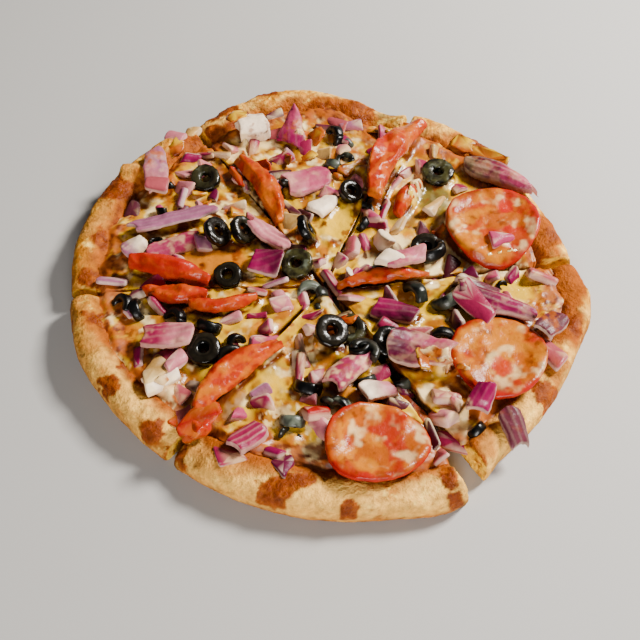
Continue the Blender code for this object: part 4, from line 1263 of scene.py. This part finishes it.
def on_pizza(x, y):
    """The place itself, or the nearest one that is well inside the outline."""
    short = max(0.0, RIM_MARGIN - inside_by(np.array([[x, y, 0.0]]))[0])
    share = 1.0 - short / math.hypot(x, y)
    return x * share, y * share


def put_down(points, x, y, thick, heading, lean, chance):
    """Local points turned, leaned, laid on the surface at a place and sunk a little."""
    x, y = on_pizza(x, y)
    height, slope = ground_at(x, y)
    turn = math.radians(heading)
    long_way = np.array((math.cos(turn), math.sin(turn), 0.0))
    upward = slope * 0.5 + np.array((0, 0, 0.7)) + np.append(chance.normal(0, lean, 2), 0)
    upward /= np.linalg.norm(upward)
    wide_way = np.cross(upward, long_way)
    wide_way /= np.linalg.norm(wide_way)
    axes = np.stack((np.cross(wide_way, upward), wide_way, upward))
    return np.array((x, y, height + thick * (0.5 - SUNK))) + points @ axes


print("a place outside the rim moves to", np.round(on_pizza(140, 0)))

# %% [markdown]
# ## Diced onion
# Diced red onion is nearly white inside with one strongly coloured side and lines of growth. Copies
# of one block would look alike, so each is bent, skewed and tapered a little by chance.

# %% Small onion pieces
def onion_bit(bit, number, chance):
    """Points and colours of one small piece of onion."""
    own = block()
    shape = own * (0.5 * bit.long, 0.5 * bit.wide, 0.5 * bit.thick)
    shape[:, 2] -= 0.22 * bit.thick * own[:, 1] ** 2 * (1.0 + own[:, 2] * 0.5)
    shape[:, 0] += chance.uniform(-0.6, 0.6) * shape[:, 1]
    shape[:, 1] *= 1.0 + chance.uniform(-0.55, 0.55) * own[:, 0]
    points = put_down(shape, bit.x, bit.y, bit.thick, bit.heading, 0.18, chance)
    for axis in range(3):
        points[:, axis] += 0.5 * rough_noise(points, 6.0, 200 + axis, 2)
    flesh = blend(flat(WHITE, len(points)), bit.skin, np.full(len(points), 0.6))
    tint = blend(flesh, bit.skin, ramp(0.2, 0.8, own[:, 2]))
    lines = np.sin(own[:, 1] * 9.0 + number) * spots(points, -0.2, 0.5, 9.0, 205)
    tint = blend(tint, WHITE, 0.4 * ramp(0.3, 0.9, lines))
    tint = blend(tint, MAGENTA, 0.25 * ramp(0.3, 0.9, -lines))
    tint = blend(tint, IVORY, 0.4 * spots(points, 0.25, 0.6, 5.0, 203))
    return points, under_cheese(points, tint)


def joined(parts, faces, name, finish):
    """Many parts of the same build as one piece."""
    points = np.concatenate([part[0] for part in parts])
    tint = np.concatenate([part[1] for part in parts])
    size = len(parts[0][0])
    all_faces = [[index + number * size for index in face] for number in range(len(parts)) for face in faces]
    wet = 0.5 + 0.4 * rough_noise(points, 3.0, 204)
    make_piece(name, points, all_faces, tint, wet, finish)
    print(name, len(parts), "parts,", len(all_faces), "faces")


block_faces = closed_rows(BLOCK_ROWS, BLOCK_TURNS)
chance = np.random.default_rng(7)
parts = [onion_bit(bit, number, chance) for number, bit in enumerate(ONION_BITS)]
joined(parts, block_faces, "diced_onion", ONION)

# %% [markdown]
# ## Scattered onion
# Where the cheese still shows too much, more bits are scattered by chance. Places are drawn one by
# one and dropped when they are on a large topping, in an open pool of cheese or too near another, so
# they spread evenly. A seed makes them the same in each run.

# %% Small onion pieces by chance
FREE_SPACING = 8.0
SCATTERED, TRIES, SCATTER_REACH = 60, 4000, 106
BUSY, RIM_KEEP, OPEN_POOL = 0.35, 22, 0.3
SMALL_SKINS = (MAGENTA, ROSE, BLUSH, PINK, DUSKY, PALE, ROSE, LILAC, BEIGE, MAROON, DUSKY, PURPLE, BLUSH)


def free_places(wanted, spacing, taken, seed):
    """Places on the cheese that are clear of toppings, pools and of each other."""
    chance = np.random.default_rng(seed)
    taken = list(taken)
    found = []
    for _ in range(TRIES):
        x, y = chance.uniform(-SCATTER_REACH, SCATTER_REACH, 2)
        spot = np.array([[x, y, 0.0]])
        blocked = read_map(near_map, x, y) > BUSY or inside_by(spot)[0] < RIM_KEEP
        pool = patch_mask(spot, YELLOW_POOLS + CREAM_POOLS + PEACH_POOLS, 0.1)[0]
        if blocked or pool > OPEN_POOL or min(math.hypot(x - a, y - b) for a, b in taken) < spacing:
            continue
        found.append((x, y))
        taken.append((x, y))
        if len(found) == wanted:
            break
    return found


taken = [(bit.x, bit.y) for bit in ONION_BITS]
parts = []
for number, (x, y) in enumerate(free_places(SCATTERED, FREE_SPACING, taken, 3)):
    bit = OnionBit(x, y, chance.uniform(8, 15), chance.uniform(5, 9), chance.uniform(2.6, 3.6),
                   chance.uniform(0, 180), SMALL_SKINS[number % len(SMALL_SKINS)])
    parts.append(onion_bit(bit, number, chance))
joined(parts, block_faces, "scattered_onion", ONION)

# %% [markdown]
# ## Toasted lumps and bits of tomato
# Cheese on top of a pile browns into rough lumps, and tomato breaks into bits. Both are the same
# block with its corners drawn in and its surface pushed about by noise, in other tones.

# %% Lumps of toasted cheese and bits of tomato
LUMP_ROUND = 0.6
LUMP_SIDES, LUMP_UP = 0.58, 0.28
LUMP_ROUGH = (1.9, 1.9, 1.1)
Lump = namedtuple("Lump", "x y long wide thick heading")
TOASTED_LUMPS = [Lump(*row) for row in (
    (-8, 88, 15, 9, 5, 10), (14, 66, 17, 6, 5, 40), (8, 60, 9, 6, 4, 30), (-66, 38, 8, 6, 4, 0),
    (-68, 47, 7, 6, 4, 30), (42, -60, 18, 6, 5, 68), (-24, 73, 16, 5, 4, -15), (-12, 75, 12, 6, 4, 10),
    (28, 96, 16, 8, 5, -20), (46, 96, 14, 8, 4, -25), (-84, 78, 12, 9, 4, 60), (88, 72, 20, 9, 3, -38),
    (78, 82, 15, 9, 3, -30), (-50, 96, 12, 8, 4, 30), (-45, 34, 12, 7, 3, 0),
)]
TOMATO_BITS = [Lump(*row) for row in (
    (-46, 58, 17, 11, 6, -60), (-52, 64, 13, 10, 5, 0), (36, -78, 24, 7, 5, -50), (-36, 66, 10, 7, 5, 20),
    (4, -38, 18, 5, 4, 15), (-56, -90, 20, 9, 3, 48), (-66, -84, 12, 7, 2.5, 60), (58, 20, 9, 6, 4, 30),
)]


def rough_lump(lump, tones, seed, chance):
    """Points and colours of one uneven lump that blends from the first tone to the others."""
    own = block()
    size = (LUMP_SIDES * lump.long, LUMP_SIDES * lump.wide, LUMP_UP * lump.thick)
    shape = own / np.linalg.norm(own, axis=1)[:, None] ** LUMP_ROUND * size
    points = put_down(shape, lump.x, lump.y, lump.thick, lump.heading, 0.12, chance)
    for axis, rough in enumerate(LUMP_ROUGH):
        points[:, axis] += rough * rough_noise(points, 4.5, seed + axis)
    layers = [(tone, 1.0, 0.0, 0.5, 5.0, seed + 5 + number) for number, tone in enumerate(tones[1:])]
    return points, mottled(points, flat(tones[0], len(points)), *layers)


parts = [rough_lump(lump, (TOAST, BURNT, YELLOW), 220, chance) for lump in TOASTED_LUMPS]
joined(parts, block_faces, "toasted_cheese", CHEESE)
parts = [rough_lump(lump, (TOAST, DEEP_SKIN, FLESH, BURNT), 240, chance) for lump in TOMATO_BITS]
joined(parts, block_faces, "tomato_bits", TOMATO)

# %% [markdown]
# ## Small olives
# The smaller rings, and parts of rings, are bent rods of all sizes. They lean more than the onion
# does, because rings lie across each other and on edge.

# %% Small olive pieces
RING_SHARE, RING_UP, RING_THICK = 0.27, 0.4, 0.72
OliveBit = namedtuple("OliveBit", "x y radius start arc coat", defaults=(0, 360, 0))
OLIVE_BITS = [OliveBit(*row) for row in (
    (24, 0, 6.5, 200, 220, 0.6), (18, 32, 6.5, -60, 150), (18, 26, 5, 60, 300), (-24, 47, 7, 20, 240),
    (4, 67, 6, 0, 300, 0.4), (10, 71, 5.5, 0, 360, 0.4), (9, 80, 7, 10, 160, 0.5), (4, 89, 7),
    (-9, -18, 6.5, 0, 360, 0.7), (-5, -21, 6.5, 0, 300, 0.2), (42, -20, 8, 0, 200, 0.1),
    (57, -22, 8, 0, 360, 0.6), (53, -46, 7), (17, -68, 5, 0, 360, 0.1), (16, -58, 7, -40, 200, 0.1),
    (-2, -82, 6, 0, 240, 0.8), (5, -82, 6, 0, 240, 0.8), (32, -64, 7, 0, 360, 0.4), (-9, -71, 7, 100, 260),
    (20, -53, 7), (-99, -27, 7, -30, 300), (-91, -29, 6), (-73, -36, 7), (-56, -39, 6.5),
    (-40, -49, 6, 200, 120), (-45, -56, 7), (-16, -88, 6, 0, 360, 0.7), (-17, -95, 5, 0, 200, 0.1),
    (64, -92, 5), (72, -6, 7, 0, 200, 0.6), (51, 5, 8), (-84, 36, 7, 180, 180), (-82, 55, 5, 90, 200, 0.1),
    (-87, 12, 4, 0, 200), (85, -14, 3), (25, 34, 5, 0, 200), (-24, 54, 5, 0, 300), (-43, -48, 5, 0, 200),
    (14, -55, 5),
)]


def olive_bit(bit, chance):
    """Points and colours of one ring, or part of a ring, of olive."""
    width = RING_SHARE * bit.radius
    own, out = rod(bit.radius - width, width, RING_UP * bit.radius, bit.arc)
    points = put_down(own, bit.x, bit.y, RING_THICK * bit.radius, bit.start, 0.3, chance)
    for axis in range(3):
        points[:, axis] += 0.6 * rough_noise(points, 6.0, 210 + axis, 2)
    tint = blend(flat(OLIVE_FLESH, len(points)), OLIVE_SKIN, 0.6 + 0.5 * rough_noise(points, 3.0, 213))
    # Darker on both sides: the outer side is the black skin, the inner side painted shade in the hole.
    tint = blend(tint, OLIVE_DARK, ramp(0.2, 0.7, np.abs(out)))
    film = bit.coat * spots(points, -0.4, 0.3, 4.0, 214)
    tint = blend(tint, COAT_GREY, film)
    return points, tint


parts = [olive_bit(bit, chance) for bit in OLIVE_BITS]
joined(parts, closed_rows(ROD_ROWS, ROD_TURNS), "sliced_olives", OLIVE)

# %% [markdown]
# ## Floor
# The pizza lies on a plain pale floor, large enough to fill the view. One square face is enough; the
# food is what matters here.

# %% Stage
FLOOR_HALF = 3
FLOOR_COLOUR, FLOOR_ROUGHNESS = (0.4, 0.39, 0.375, 1), 0.7
corners = [(-FLOOR_HALF, -FLOOR_HALF, 0), (FLOOR_HALF, -FLOOR_HALF, 0),
           (FLOOR_HALF, FLOOR_HALF, 0), (-FLOOR_HALF, FLOOR_HALF, 0)]
floor_mesh = bpy.data.meshes.new("floor")
floor_mesh.from_pydata(corners, [], [(0, 1, 2, 3)])
floor = bpy.data.objects.new("floor", floor_mesh)
bpy.context.scene.collection.objects.link(floor)
pale = bpy.data.materials.new("pale_floor")
pale.use_nodes = True
pale.node_tree.nodes["Principled BSDF"].inputs["Base Color"].default_value = FLOOR_COLOUR
pale.node_tree.nodes["Principled BSDF"].inputs["Roughness"].default_value = FLOOR_ROUGHNESS
floor_mesh.materials.append(pale)
print("floor:", 2 * FLOOR_HALF, "m wide")

# %% [markdown]
# ## Lights
# The photo's light comes from behind, on the right, at about 45 degrees, and is rather hard: every
# wet lump has a small bright spot. A small window gives that, and a weak fill opens the shadows.

# %% Lights
WINDOW_PLACE, WINDOW_SIZE, WINDOW_POWER, WINDOW_TONE = (0.78, 0.4, 0.76), 0.25, 46.0, (1.0, 0.96, 0.9)
FILL_PLACE, FILL_SIZE, FILL_POWER, FILL_TONE = (0.1, -1.1, 0.34), 0.4, 18.0, (1.0, 0.96, 0.93)
ROOM_COLOUR, ROOM_STRENGTH = (0.8, 0.79, 0.78, 1), 0.15


def area_light(name, place, size, power, tone):
    """A square soft light that looks at the middle of the pizza."""
    data = bpy.data.lights.new(name, "AREA")
    data.size = size
    data.energy = power
    data.color = tone
    light = bpy.data.objects.new(name, data)
    light.location = place
    light.rotation_euler = (-Vector(place)).to_track_quat("-Z", "Y").to_euler()
    bpy.context.scene.collection.objects.link(light)


area_light("window", WINDOW_PLACE, WINDOW_SIZE, WINDOW_POWER, WINDOW_TONE)
area_light("front_fill", FILL_PLACE, FILL_SIZE, FILL_POWER, FILL_TONE)
world = bpy.context.scene.world or bpy.data.worlds.new("studio")
bpy.context.scene.world = world
world.use_nodes = True
world.node_tree.nodes["Background"].inputs["Color"].default_value = ROOM_COLOUR
world.node_tree.nodes["Background"].inputs["Strength"].default_value = ROOM_STRENGTH

# %% [markdown]
# ## Camera
# The camera stands where the photo was taken from: in front, a third of a metre up, and tilted
# down. Its place and tilt were found from how round things look at that angle.

# %% Camera
LENS, SENSOR = 45.0, 36.0
CAMERA_PLACE, CAMERA_TILT = (-0.0039, -0.2486, 0.3273), 34.3
camera_data = bpy.data.cameras.new("camera")
camera_data.lens = LENS
camera_data.sensor_width = SENSOR
camera = bpy.data.objects.new("camera", camera_data)
camera.location = CAMERA_PLACE
camera.rotation_euler = (math.radians(CAMERA_TILT), 0.0, 0.0)
bpy.context.scene.collection.objects.link(camera)
bpy.context.scene.camera = camera
print("camera height", round(camera.location.z / MM), "mm")
